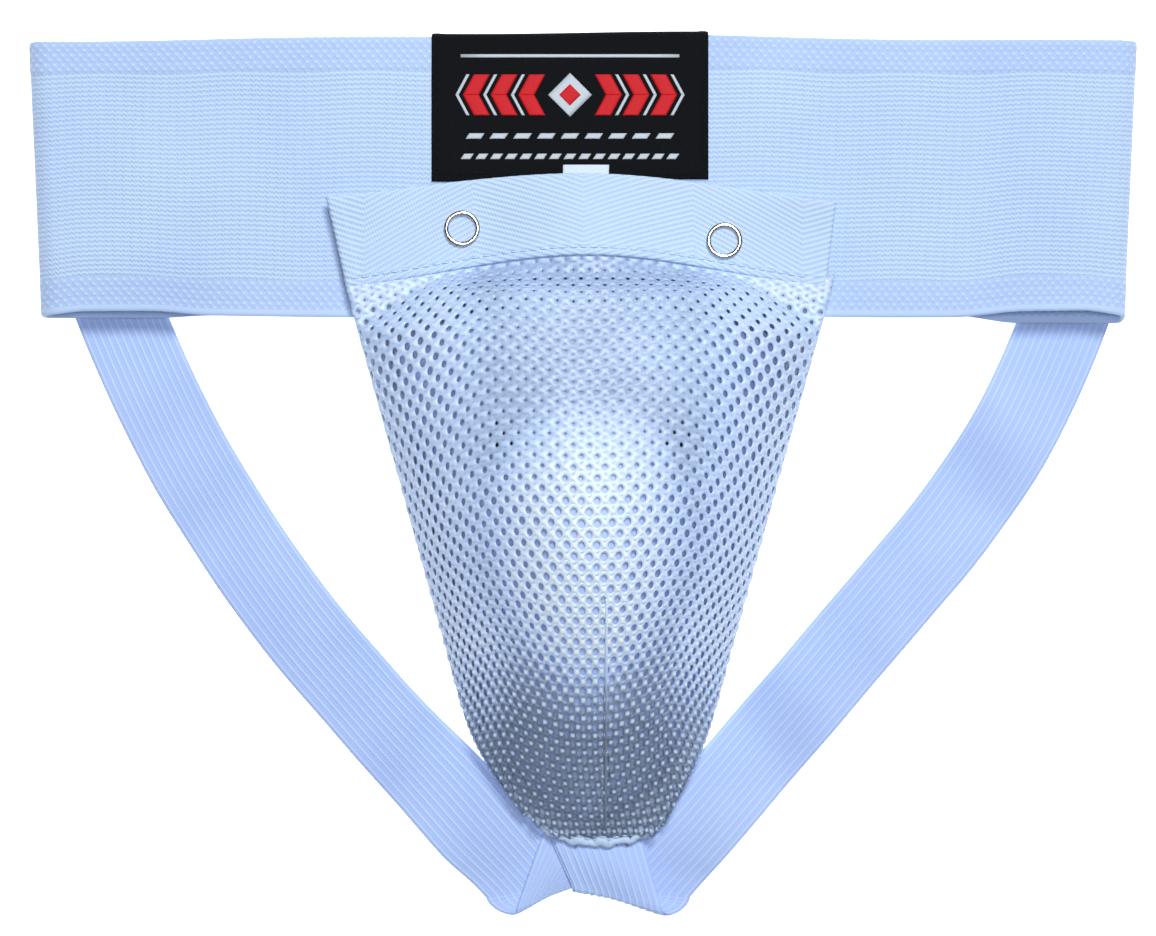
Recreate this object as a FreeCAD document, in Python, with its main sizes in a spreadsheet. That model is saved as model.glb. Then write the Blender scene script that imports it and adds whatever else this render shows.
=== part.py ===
"""Groin protector lying on its back: an elastic waist loop, two leg straps and a mesh pouch that
holds a hard cup. +X is to the wearer's left, +Y towards the waist, +Z out of the table.
Millimetres throughout."""

import FreeCAD, Part
import math
import os

Vector = FreeCAD.Vector

DIMENSIONS = {
    # waist loop, pressed nearly flat
    "band_length": 306.0,
    "band_width": 76.0,
    "band_cloth": 1.6,
    "band_rise": 12.0,
    "band_base": 1.4,
    "band_low_edge": 44.6,
    "join_length": 24.0,
    # woven label folded over the top edge of the loop
    "label_length": 76.0,
    "label_middle": -3.6,
    "label_drop": 40.0,
    "label_cloth": 0.6,
    "label_turn": 16.0,
    # mouth tape, the flap that closes the pouch
    "tape_cloth": 1.4,
    "tape_gap": 3.6,
    "tape_bulge": 9.0,
    "tape_flat_from": 28.0,
    "tape_stitch_low": 1.0,
    # small white tab behind the tape
    "tab_length": 12.5,
    "tab_middle": 0.5,
    "tab_low": 68.0,
    "tab_high": 84.4,
    "tab_cloth": 0.4,
    # open-ring press studs
    "ring_mean_radius": 4.3,
    "ring_wire_radius": 0.6,
    "stud_base_radius": 4.4,
    "stud_base_rise": 0.7,
    "stud_neck_radius": 1.45,
    "stud_tip_radius": 1.75,
    "stud_neck_rise": 1.0,
    "stud_tip_rise": 0.9,
    "socket_radius": 4.4,
    "socket_bore": 2.05,
    "socket_rise": 2.2,
    # pouch, built in its own plane, which tilts up towards the waist
    "pouch_tilt": 4.74,
    "pouch_middle": 1.6,
    "pouch_base": 11.4,
    "mesh_cloth": 2.0,
    "mesh_clear": 0.8,
    "lining_cloth": 0.8,
    "lining_top": 56.0,
    "seam_width": 2.4,
    "dart_width": 1.2,
    "dart_rise": 0.6,
    "dart_gap": 0.12,
    "dart_middle": 4.6,
    "dart_top": -32.0,
    # hard cup
    "cup_wall": 3.0,
    "cup_height": 41.0,
    "cup_top": 48.0,
    "cup_end": -95.5,
    "cup_peak": -15.0,
    "cup_lip": 18.0,
    "cup_toe": 5.0,
    "rim_rise": 3.0,
    "rim_width": 6.0,
    "vent_radius": 3.6,
    # leg straps
    "strap_width": 25.0,
    "strap_cloth": 1.2,
    "box_stitch_length": 20.0,
    "box_stitch_width": 11.0,
    "thread": 0.5,
}

doc = FreeCAD.newDocument("GroinProtector")
sheet = doc.addObject("Spreadsheet::Sheet", "dims")
for row, (alias, value) in enumerate(DIMENSIONS.items(), start=1):
    sheet.set(f"A{row}", alias)
    sheet.set(f"B{row}", str(value))
    sheet.setAlias(f"B{row}", alias)
doc.recompute()

CROWN_POWER = 2.0  # with the rounding, how square a cross-section of the cup is
CROWN_ROUNDING = 0.92
ARCH_POINTS = 24

nodes = []


def size(alias):
    """A driving dimension, read from the sheet."""
    return float(sheet.get(alias))


def bind(thing, **expressions):
    """Binds properties to expressions on the sheet; a double underscore stands for a dot."""
    for name, text in expressions.items():
        thing.setExpression(name.replace("__", "."), text)
    return thing


def keep(thing, label):
    """Marks an object as a sub-part of the model, under its own label."""
    thing.Label = label
    nodes.append(thing)
    return thing


def add(kind, name):
    return doc.addObject(kind, name)


def shaped(label, shape, placement=None):
    """A sub-part whose shape is made with Part's functions."""
    thing = add("Part::Feature", label)
    thing.Shape = shape
    if placement:
        thing.Placement = placement
    return keep(thing, label)


def fused(label, shapes):
    whole = add("Part::MultiFuse", label)
    whole.Shapes = shapes
    whole.Refine = True
    return whole


def cut(label, base, tool):
    whole = add("Part::Cut", label)
    whole.Base, whole.Tool = base, tool
    return whole


def block(name, length, width, height, left, low, base):
    """A box, each size and corner an expression."""
    return bind(
        add("Part::Box", name),
        Length=length, Width=width, Height=height,
        Placement__Base__x=left, Placement__Base__y=low, Placement__Base__z=base,
    )


def disc(name, radius, height, place, base):
    """An upright cylinder at place (x, y), from the height base."""
    thing = bind(add("Part::Cylinder", name), Radius=radius, Height=height, Placement__Base__z=base)
    thing.Placement.Base = Vector(*place, 0)
    return thing


# ---------------------------------------------------------------- waist loop


def stadium(name, length, rise, base):
    """A flattened tube along Y: a box with a half-round at each end."""
    parts = [
        block(
            name + "_flat", f"{length} - ({rise})", "dims.band_width", rise,
            f"-({length} - ({rise})) / 2", "dims.band_low_edge", base,
        )
    ]
    for side, sign in (("left", "-"), ("right", "")):
        turn = add("Part::Cylinder", f"{name}_{side}")
        turn.Placement.Rotation = FreeCAD.Rotation(Vector(1, 0, 0), -90)
        bind(
            turn, Radius=f"({rise}) / 2", Height="dims.band_width",
            Placement__Base__x=f"{sign}({length} - ({rise})) / 2",
            Placement__Base__y="dims.band_low_edge",
            Placement__Base__z=f"{base} + ({rise}) / 2",
        )
        parts.append(turn)
    return fused(name, parts)


def waistband():
    outside = stadium("band_outside", "dims.band_length", "dims.band_rise", "dims.band_base")
    inside = stadium(
        "band_inside", "dims.band_length - 2 * dims.band_cloth",
        "dims.band_rise - 2 * dims.band_cloth", "dims.band_base + dims.band_cloth",
    )
    keep(cut("waistband", outside, inside), "waistband")
    keep(
        block(
            "waistband_join", "dims.join_length", "dims.band_width", "dims.band_base",
            "-dims.join_length / 2", "dims.band_low_edge", "0",
        ),
        "waistband_join",
    )


def label():
    """The label's face, its turn over the edge of the loop and the tail inside."""
    left = "dims.label_middle - dims.label_length / 2"
    edge = "dims.band_low_edge + dims.band_width"
    top = "dims.band_base + dims.band_rise"
    face = block(
        "label_face", "dims.label_length", "dims.label_drop + dims.label_cloth", "dims.label_cloth",
        left, f"{edge} - dims.label_drop", top,
    )
    turn = block(
        "label_over", "dims.label_length", "dims.label_cloth",
        "dims.band_cloth + 2 * dims.label_cloth", left, edge,
        f"{top} - dims.band_cloth - dims.label_cloth",
    )
    tail = block(
        "label_tail", "dims.label_length", "dims.label_turn + dims.label_cloth", "dims.label_cloth",
        left, f"{edge} - dims.label_turn", f"{top} - dims.band_cloth - dims.label_cloth",
    )
    keep(fused("woven_label", [face, turn, tail]), "woven_label")


# ---------------------------------------------------------------- mouth flap

TAPE_LOW = [(-64.7, 51.1), (0.9, 59.4), (66.4, 50.6)]
TAPE_HIGH = [(69.2, 74.6), (-0.8, 82.0), (-70.3, 75.8)]


def arc(points):
    return Part.Arc(*(Vector(x, y, 0) for x, y in points))


def outline_face(geometry):
    return Part.Face(Part.Wire([piece.toShape() for piece in geometry]))


def tape_outline(low_rise, high_rise, inset=0.0):
    """The tape between an arc low_rise above its lower edge and one high_rise above it."""
    (x0, y0), (x1, y1), (x2, y2) = TAPE_LOW
    low = [(x0 + inset, y0 + low_rise), (x1, y1 + low_rise), (x2 - inset, y2 + low_rise)]
    if high_rise is None:
        high = TAPE_HIGH
    else:
        high = [(x2 - inset, y2 + high_rise), (x1, y1 + high_rise), (x0 + inset, y0 + high_rise)]
    sides = [
        Part.LineSegment(Vector(*low[2], 0), Vector(*high[0], 0)),
        Part.LineSegment(Vector(*high[2], 0), Vector(*low[0], 0)),
    ]
    return outline_face([arc(low), sides[0], arc(high), sides[1]])


def tape_level(x):
    """Height of the tape's back face: flat at the studs, bowed out between them."""
    rest = size("band_base") + size("band_rise") + size("tape_gap")
    u = abs(x) / size("tape_flat_from")
    return rest + size("tape_bulge") * max(0.0, 1 - u**CROWN_POWER) ** CROWN_ROUNDING


def tape_slab(offset, cloth):
    """A bowed slab along Y, offset above the tape's back face and cloth thick."""
    reach, steps = 80.0, 40
    xs = [reach * (2 * i / steps - 1) for i in range(steps + 1)]
    low = [Vector(x, 0, tape_level(x) + offset) for x in xs]
    high = [point + Vector(0, 0, cloth) for point in reversed(low)]
    face = Part.Face(Part.makePolygon(low + high + low[:1]))
    return face.extrude(Vector(0, 150, 0))


def mouth_tape():
    tall = 60.0
    strip = tape_outline(0, None).extrude(Vector(0, 0, tall))
    shaped("mouth_tape", tape_slab(0, size("tape_cloth")).common(strip))
    low = size("tape_stitch_low")
    row = tape_outline(low, low + 1.0, inset=2.0).extrude(Vector(0, 0, tall))
    shaped("tape_stitch", tape_slab(size("tape_cloth"), size("thread")).common(row))
    keep(
        block(
            "care_tab", "dims.tab_length", "dims.tab_high - dims.tab_low", "dims.tab_cloth",
            "dims.tab_middle - dims.tab_length / 2", "dims.tab_low",
            "dims.band_base + dims.band_rise + dims.tape_gap + dims.tape_bulge / 2",
        ),
        "care_tab",
    )


# ---------------------------------------------------------------- press studs

STUDS = {"left": (-33.1, 67.2), "right": (38.6, 63.9)}
BAND_FACE = "dims.band_base + dims.band_rise"


def ring(name, place, level):
    """An open ring of round wire, flat at the given height."""
    thing = bind(
        add("Part::Torus", name), Radius1="dims.ring_mean_radius", Radius2="dims.ring_wire_radius",
        Placement__Base__z=level,
    )
    thing.Placement.Base = Vector(*place, 0)
    return keep(thing, name)


def press_stud(side, place):
    base = disc(f"stud_base_{side}", "dims.stud_base_radius", "dims.stud_base_rise", place, BAND_FACE)
    neck = bind(
        add("Part::Cone", f"stud_neck_{side}"),
        Radius1="dims.stud_tip_radius", Radius2="dims.stud_neck_radius",
        Height="dims.stud_neck_rise", Placement__Base__z=f"{BAND_FACE} + dims.stud_base_rise",
    )
    neck.Placement.Base = Vector(*place, 0)
    tip = disc(
        f"stud_tip_{side}", "dims.stud_tip_radius", "dims.stud_tip_rise", place,
        f"{BAND_FACE} + dims.stud_base_rise + dims.stud_neck_rise",
    )
    keep(fused(f"stud_{side}", [base, neck, tip]), f"stud_{side}")
    ring(
        f"back_ring_{side}", place,
        f"{BAND_FACE} - dims.band_cloth - dims.ring_wire_radius",
    )
    ring(
        f"ring_cap_{side}", place,
        f"{BAND_FACE} + dims.tape_gap + dims.tape_cloth + dims.ring_wire_radius",
    )
    level = f"{BAND_FACE} + dims.tape_gap - dims.socket_rise"
    outside = disc(f"socket_body_{side}", "dims.socket_radius", "dims.socket_rise", place, level)
    bore = disc(f"socket_bore_{side}", "dims.socket_bore", "dims.socket_rise", place, level)
    keep(cut(f"socket_{side}", outside, bore), f"socket_{side}")


# ---------------------------------------------------------------- pouch and cup

POUCH_HIP, POUCH_TAPER, POUCH_KNEE = 52.27, 0.2718, -62.8
POUCH_FOOT, POUCH_FOOT_HALF, POUCH_END = -99.0, 15.0, -102.6
FOOT_SHIFT = 2.6  # the foot lies a little to one side
SIDE_WALL = 3.6
MOUTH_FROM, MOUTH_RUN = 40.0, 18.0  # where the mesh starts to gather in to the tape, and over what length
MOUTH_HALF, MOUTH_WALL = 34.0, 1.4  # half the width of its bulge there, and how low its sides lie
CUP_CLEAR, CUP_SIDE = 5.4, 1.5  # room between cup and pouch edge, and the height of the cup's side
DEPTH = 200.0


def pouch_place(rise=0.0):
    """The pouch's own plane in the part's frame."""
    return FreeCAD.Placement(
        Vector(size("pouch_middle"), 0, size("pouch_base") + rise),
        FreeCAD.Rotation(Vector(1, 0, 0), size("pouch_tilt")),
    )


def pouch_half(y):
    """Half the pouch's width at the height y: straight sides, then drawn in to the foot."""
    if y > POUCH_KNEE:
        return POUCH_HIP + POUCH_TAPER * y
    t = (POUCH_KNEE - y) / (POUCH_KNEE - POUCH_END)
    return (POUCH_HIP + POUCH_TAPER * POUCH_KNEE) * (1 - t**1.6) ** 0.6


def crown(y):
    """Height of the cup along its middle line, highest at its peak."""
    peak = size("cup_peak")
    if y > peak:
        lip = size("cup_lip")
        t = (y - peak) / (size("cup_top") - peak)
        return lip + (size("cup_height") - lip) * math.cos(math.pi / 2 * min(t, 1.2))
    lip = size("cup_toe")
    t = (peak - y) / (peak - size("cup_end"))
    return lip + (size("cup_height") - lip) * math.cos(math.pi / 2 * min(t, 1.05))


def arch_section(y, half, arch_half, wall, height):
    """A closed wire across the pouch: flat base, upright sides and an arched top."""
    points = []
    for i in range(ARCH_POINTS + 1):
        x = half * (1 - 2 * i / ARCH_POINTS)
        u = min(1.0, abs(x) / arch_half)
        points.append(Vector(x, y, wall + (height - wall) * (1 - u**CROWN_POWER) ** CROWN_ROUNDING))
    arch = Part.BSplineCurve()
    arch.interpolate(points)
    right, left = Vector(half, y, 0), Vector(-half, y, 0)
    edges = [
        Part.makeLine(left, right),
        Part.makeLine(right, points[0]),
        arch.toShape(),
        Part.makeLine(points[-1], left),
    ]
    return Part.Wire(edges)


def dome(stations, narrow, rise):
    """A solid lofted through sections, each narrow inside the pouch's sides and rise over the cup."""
    wires = []
    for y in stations:
        half = pouch_half(y) - narrow
        mouth = min(1.0, max(0.0, (y - MOUTH_FROM) / MOUTH_RUN))
        arch_half = half + (MOUTH_HALF - half) * mouth
        wall = SIDE_WALL + (MOUTH_WALL - SIDE_WALL) * mouth + rise
        wires.append(arch_section(y, half, arch_half, wall, crown(y) + rise))
    return Part.makeLoft(wires, True, False)


def pouch_outline(top, inset=0.0):
    """The pouch's plan: straight sides, arcs into the foot and a shallow foot."""
    upper, knee = pouch_half(top) - inset, pouch_half(POUCH_KNEE) - inset
    foot, bend = POUCH_FOOT_HALF - inset, pouch_half(-84.0) - inset
    low, end = POUCH_FOOT + inset * 0.5, POUCH_END + inset
    shift = FOOT_SHIFT
    return [
        Part.LineSegment(Vector(-upper, top, 0), Vector(-knee, POUCH_KNEE, 0)),
        arc([(-knee, POUCH_KNEE), (-bend + shift / 2, -84.0), (-foot + shift, low)]),
        arc([(-foot + shift, low), (shift, end), (foot + shift, low)]),
        arc([(foot + shift, low), (bend + shift / 2, -84.0), (knee, POUCH_KNEE)]),
        Part.LineSegment(Vector(knee, POUCH_KNEE, 0), Vector(upper, top, 0)),
        Part.LineSegment(Vector(upper, top, 0), Vector(-upper, top, 0)),
    ]


def prism(geometry, low, high):
    return outline_face(geometry).translated(Vector(0, 0, low)).extrude(Vector(0, 0, high - low))


def under_tape():
    """Everything below the tape's lower edge, so that the mesh ends just short of it."""
    gap = 0.4
    middle = size("pouch_middle")
    edge = [(x - middle, y - gap) for x, y in TAPE_LOW]
    (x0, y0), (x2, y2) = edge[0], edge[2]
    corners = [(x2, y2), (100.0, y2 - 4.0), (100.0, -150.0), (-100.0, -150.0), (-100.0, y0 - 4.0), (x0, y0)]
    sides = [
        Part.LineSegment(Vector(*a, 0), Vector(*b, 0)) for a, b in zip(corners, corners[1:])
    ]
    return prism([arc(edge), *sides], -DEPTH, DEPTH)


# the mesh's cross-sections, down the pouch
STATIONS = [62.0, 56.0, 50.0, 42.0, 30.0, 15.0, 0.0, -15.0, -30.0, -45.0, -60.0, -72.0, -83.0, -92.0]


def pouch():
    seam, cloth, clear = size("seam_width"), size("mesh_cloth"), size("mesh_clear")
    plan = prism(pouch_outline(60.0, inset=seam + 0.1), 0, DEPTH)
    outer = dome([*STATIONS, POUCH_FOOT], 0.0, cloth + clear).common(plan).common(under_tape())
    inner_plan = prism(pouch_outline(70.0, inset=seam + cloth), -1, DEPTH)
    inner = dome([70.0, *STATIONS, POUCH_FOOT], cloth, clear).common(inner_plan)
    shaped("pouch_mesh", outer.cut(inner), pouch_place())

    plate = prism(pouch_outline(size("lining_top"), inset=0.2), 0, size("lining_cloth"))
    drop = -size("lining_cloth") - 0.3
    shaped("pouch_lining", plate, pouch_place(drop))
    side_seams()
    centre_dart(cloth + clear)


def side_seams():
    """The turned edges that join mesh and lining: one strip on each side, and the hem at the foot."""
    whole = prism(pouch_outline(46.0), 0, SIDE_WALL - 1.0)
    hollow = prism(pouch_outline(60.0, inset=size("seam_width")), -1, DEPTH)
    roll = whole.cut(hollow)
    split = -92.0
    for name, left, low, high in (
        ("side_seam_left", -100.0, split, 46.0),
        ("side_seam_right", 0.0, split, 46.0),
        ("bottom_hem", -100.0, -150.0, split - 0.2),
    ):
        wide = 200.0 if name == "bottom_hem" else 100.0
        zone = Part.makeBox(wide, high - low, DEPTH, Vector(left, low, -1))
        shaped(name, roll.common(zone), pouch_place(-0.2))


def centre_dart(under):
    """The stitched ridge that shapes the lower half of the mesh, lying just clear of it."""
    stations = [*STATIONS, POUCH_FOOT]
    rest = under + size("dart_gap")
    ridge = dome(stations, 0.0, rest + size("dart_rise")).cut(dome(stations, 0.0, rest))
    low, high = -88.0, size("dart_top")
    left = size("dart_middle") - size("dart_width") / 2
    slot = Part.makeBox(size("dart_width"), high - low, DEPTH, Vector(left, low, 0))
    shaped("centre_seam", ridge.common(slot), pouch_place())


def cup_outline():
    """The cup's rim in its own plane: bowed top, rounded corners, straight sides, round end."""
    top, end = size("cup_top"), size("cup_end")
    crest, corner, side, knee = (45.0, top - 8.5), (51.3, top - 12.5), (52.9, top - 20.0), (29.4, -62.0)
    bend = (19.5, -83.0)

    def mirror(point):
        return (-point[0], point[1])

    return [
        arc([mirror(crest), (0, top), crest]),
        arc([crest, corner, side]),
        Part.LineSegment(Vector(*side, 0), Vector(*knee, 0)),
        arc([knee, bend, (0, end)]),
        arc([(0, end), mirror(bend), mirror(knee)]),
        Part.LineSegment(Vector(*mirror(knee), 0), Vector(*mirror(side), 0)),
        arc([mirror(side), mirror(corner), mirror(crest)]),
    ]


CUP_STATIONS = [62.0, 48.0, 34.0, 18.0, 2.0, -15.0, -32.0, -48.0, -62.0, -74.0, -85.0, -93.0, -99.0]


def cup_dome(inset):
    """The cup's outer surface moved in by inset, as a solid down to its rim plane."""
    wires = []
    for y in CUP_STATIONS:
        half = pouch_half(y) - CUP_CLEAR - inset
        wires.append(arch_section(y, half, half, CUP_SIDE, crown(y) - inset))
    return Part.makeLoft(wires, True, False)


def offset_prism(grow, low, high):
    wire = Part.Wire([piece.toShape() for piece in cup_outline()])
    if grow:
        wire = wire.makeOffset2D(grow)
    return Part.Face(wire).translated(Vector(0, 0, low)).extrude(Vector(0, 0, high - low))


VENTS = [(-23.0, 13.0), (23.0, 13.0)]


def cup():
    wall, rise, width = size("cup_wall"), size("rim_rise"), size("rim_width")
    outer = cup_dome(0.0).common(offset_prism(0, rise, DEPTH))
    inner = cup_dome(wall).common(offset_prism(-wall, rise - 1, DEPTH))
    shell = outer.cut(inner)
    for x, y in VENTS:
        shell = shell.cut(Part.makeCylinder(size("vent_radius"), DEPTH, Vector(x, y, 0)))
    shaped("cup_shell", shell, pouch_place())
    rim = offset_prism(1.0, 0, rise).cut(offset_prism(1.0 - width, -1, rise + 1))
    shaped("cup_rim", rim, pouch_place())


# ---------------------------------------------------------------- leg straps


def ribbon_point(strap, along, offset):
    """A point of a strap, along its middle line from the fold and offset outwards from it.

    The strap runs straight from the fold and then bends upright on an arc."""
    heading, bend = math.radians(strap["heading"]), strap["bend"]
    straight = min(along, strap["straight"])
    x = strap["foot"][0] + straight * math.sin(heading)
    y = strap["foot"][1] + straight * math.cos(heading)
    turn = max(0.0, along - strap["straight"]) / bend
    chord = 2 * bend * math.sin(turn / 2)
    x += chord * math.sin(heading - turn / 2)
    y += chord * math.cos(heading - turn / 2)
    x += offset * math.cos(heading - turn)
    y -= offset * math.sin(heading - turn)
    return Vector(strap["sign"] * x, y, 0)


def strap_outline(strap):
    """The long run of a strap, from its fold line to a square end under the waist loop."""
    half = size("strap_width") / 2
    straight, run, skew = strap["straight"], strap["run"], strap["skew"]
    stretch = [straight, (straight + run) / 2, run]
    outer = [ribbon_point(strap, s, half) for s in [skew, *stretch]]
    inner = [ribbon_point(strap, s, -half) for s in [strap["inner_from"], *stretch]]
    corner = ribbon_point(strap, -skew, -half)
    clip = Vector(inner[0].x, corner.y - 2.2, 0) if strap["inner_from"] > 0 else None
    fold = Vector(*strap["fold"][0], 0)
    lower = [inner[0], clip, fold, outer[0]] if clip else [inner[0], fold, outer[0]]
    return [
        Part.LineSegment(outer[0], outer[1]),
        Part.Arc(outer[1], outer[2], outer[3]),
        Part.LineSegment(outer[3], inner[3]),
        Part.Arc(inner[3], inner[2], inner[1]),
        Part.LineSegment(inner[1], inner[0]),
        *[Part.LineSegment(a, b) for a, b in zip(lower, lower[1:])],
    ]


def polygon(points):
    corners = [Vector(x, y, 0) for x, y in points]
    return [Part.LineSegment(a, b) for a, b in zip(corners, corners[1:] + corners[:1])]


def origin_plane(body, role):
    return next(feature for feature in body.Origin.OriginFeatures if feature.Role == role)


def padded(body, name, geometry, level, thickness):
    """Adds a pad of a flat outline to a body, from the height level, both expressions."""
    sketch = body.newObject("Sketcher::SketchObject", name + "_outline")
    sketch.AttachmentSupport = [(origin_plane(body, "XY_Plane"), "")]
    sketch.MapMode = "FlatFace"
    sketch.setExpression("AttachmentOffset.Base.z", level)
    sketch.addGeometry(geometry, False)
    pad = body.newObject("PartDesign::Pad", name)
    pad.Profile = sketch
    pad.setExpression("Length", thickness)
    doc.recompute()
    return pad


STRAPS = {
    # foot and heading: where the middle line meets the fold, and its lean from upright there;
    # skew: how far the fold line runs ahead at the outer edge; fold and seam: the short tab's ends
    "left": {
        "sign": -1, "foot": (14.1, -116.0), "heading": 41.2, "straight": 81.0, "bend": 345.0, "run": 217.0,
        "skew": 7.9, "inner_from": 4.6, "layer": 1,
        "fold": [(-20.4, -120.6), (-4.6, -114.4)], "seam": [(13.0, -102.8), (-10.3, -102.8)],
    },
    "right": {
        "sign": 1, "foot": (15.2, -116.0), "heading": 40.5, "straight": 123.0, "bend": 216.0, "run": 219.0,
        "skew": 7.6, "inner_from": -8.5, "layer": 2,
        "fold": [(23.4, -120.6), (-0.4, -114.4)], "seam": [(-8.6, -102.8), (16.6, -102.8)],
    },
}


def leg_strap(side):
    """A strap folded under at its foot: the long run on the table and the short tab to the pouch."""
    strap = STRAPS[side]
    body = add("PartDesign::Body", f"leg_strap_{side}")
    padded(body, f"long_{side}", strap_outline(strap), "0", "dims.strap_cloth")
    level = f"{strap['layer']} * (dims.strap_cloth + 0.1)"
    padded(body, f"tab_{side}", polygon(strap["fold"] + strap["seam"]), level, "dims.strap_cloth")
    (x0, y0), (x1, y1) = strap["fold"]
    rise = 1.6
    bar = polygon([(x0, y0), (x1, y1), (x1, y1 + rise), (x0, y0 + rise)])
    padded(body, f"fold_{side}", bar, "0", f"{level} + dims.strap_cloth")
    keep(body, f"leg_strap_{side}")


def box_stitch(name, place):
    """The stitched box that holds a strap's end, on the inside of the loop's back layer."""
    level = "dims.band_base + dims.band_cloth"
    x, y = place
    keep(
        block(
            f"strap_stitch_{name}", "dims.box_stitch_length", "dims.box_stitch_width", "dims.thread",
            f"{x} - dims.box_stitch_length / 2", f"{y} - dims.box_stitch_width / 2", level,
        ),
        f"strap_stitch_{name}",
    )


# ---------------------------------------------------------------- build, check and write


def check():
    """Stops on any failed object, or a sub-part with no sound shape."""
    for thing in doc.Objects:
        if {"Invalid", "Error"} & set(thing.State):
            raise RuntimeError(f"{thing.Name} failed: {thing.State}")
    for thing in nodes:
        if thing.Shape.isNull() or not thing.Shape.isValid() or not thing.Shape.Solids:
            raise RuntimeError(f"{thing.Label} has no sound shape")


def main():
    waistband()
    label()
    mouth_tape()
    for side, place in STUDS.items():
        press_stud(side, place)
    pouch()
    cup()
    for side in STRAPS:
        leg_strap(side)
    box_stitch("left", (-130.0, 53.0))
    box_stitch("right", (136.0, 53.0))
    doc.recompute()
    check()
    os.makedirs("parts", exist_ok=True)
    for thing in nodes:
        thing.Shape.exportStep(f"parts/{thing.Label}.step")
        box = thing.Shape.BoundBox
        print(
            f"{thing.Label:18} solids {len(thing.Shape.Solids)} volume {thing.Shape.Volume:9.1f}"
            f"  x {box.XMin:7.1f} {box.XMax:7.1f}  y {box.YMin:7.1f} {box.YMax:7.1f}"
            f"  z {box.ZMin:6.2f} {box.ZMax:6.2f}"
        )


main()
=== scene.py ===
"""The looks of the groin protector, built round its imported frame.

Shapes are worked out in millimetres in the part's own frame and turned into metres by piece()."""

import math

import bpy
import numpy as np
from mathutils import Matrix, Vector


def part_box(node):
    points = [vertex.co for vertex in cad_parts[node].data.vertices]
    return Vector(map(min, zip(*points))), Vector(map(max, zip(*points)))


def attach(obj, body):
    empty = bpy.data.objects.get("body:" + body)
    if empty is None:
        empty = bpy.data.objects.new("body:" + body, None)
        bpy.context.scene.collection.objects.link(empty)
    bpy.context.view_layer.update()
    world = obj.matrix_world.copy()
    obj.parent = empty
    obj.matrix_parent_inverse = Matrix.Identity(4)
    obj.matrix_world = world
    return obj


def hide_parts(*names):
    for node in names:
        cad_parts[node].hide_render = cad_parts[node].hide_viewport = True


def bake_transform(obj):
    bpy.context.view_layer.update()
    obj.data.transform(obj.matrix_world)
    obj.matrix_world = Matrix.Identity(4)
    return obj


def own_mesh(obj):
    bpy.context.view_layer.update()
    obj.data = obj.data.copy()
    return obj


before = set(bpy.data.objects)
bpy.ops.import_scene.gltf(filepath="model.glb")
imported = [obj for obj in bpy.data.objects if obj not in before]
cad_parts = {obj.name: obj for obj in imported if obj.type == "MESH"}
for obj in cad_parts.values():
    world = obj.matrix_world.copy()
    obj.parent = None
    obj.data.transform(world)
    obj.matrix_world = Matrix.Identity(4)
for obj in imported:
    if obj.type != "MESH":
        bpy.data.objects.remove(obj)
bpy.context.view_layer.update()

MM = 0.001
SEED = 11
random = np.random.default_rng(SEED)


# ------------------------------------------------------------------ mesh making


def grid_faces(rows, columns, closed=False, ring=False):
    """Quads of a grid whose points run along columns first.

    closed joins the last row to the first, and ring the last column to the first."""
    r = np.arange(rows if closed else rows - 1)
    c = np.arange(columns if ring else columns - 1)
    r, c = np.meshgrid(r, c, indexing="ij")
    here, below, beside = r * columns, (r + 1) % rows * columns, (c + 1) % columns
    return np.stack([here + c, below + c, below + beside, here + beside], -1).reshape(-1, 4)


def normals_of(points, closed=False):
    """Unit normals of a grid of points."""
    if closed:
        wrapped = np.concatenate([points[-1:], points, points[:1]])
        along = np.gradient(wrapped, axis=0)[1:-1]
    else:
        along = np.gradient(points, axis=0)
    across = np.gradient(points, axis=1)
    n = np.cross(along, across)
    return n / np.maximum(np.linalg.norm(n, axis=2, keepdims=True), 1e-9)


def shell(front, back, closed=False):
    """A closed sheet between two grids of points, as points and faces."""
    rows, columns = front.shape[:2]
    total = rows * columns
    quads = grid_faces(rows, columns, closed)
    faces = [quads, quads[:, ::-1] + total]
    place = np.arange(total).reshape(rows, columns)
    borders = [place[:, 0], place[:, -1][::-1]]
    if not closed:
        borders = [place[:, 0], place[-1, :], place[:, -1][::-1], place[0, ::-1]]
    for line in borders:
        a, b = (line, np.roll(line, -1)) if closed else (line[:-1], line[1:])
        faces.append(np.stack([b, a, a + total, b + total], -1))
    return np.concatenate([front.reshape(-1, 3), back.reshape(-1, 3)]), np.concatenate(faces)


def slab(points, thickness, relief, back_relief, closed=False):
    """A sheet of cloth round a middle surface, with a relief on each of its faces."""
    n = normals_of(points, closed)
    size = points.shape[:2]
    front = points + n * np.broadcast_to(thickness / 2 + relief, size)[..., None]
    back = points - n * np.broadcast_to(thickness / 2 + back_relief, size)[..., None]
    return shell(front, back, closed)


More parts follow.
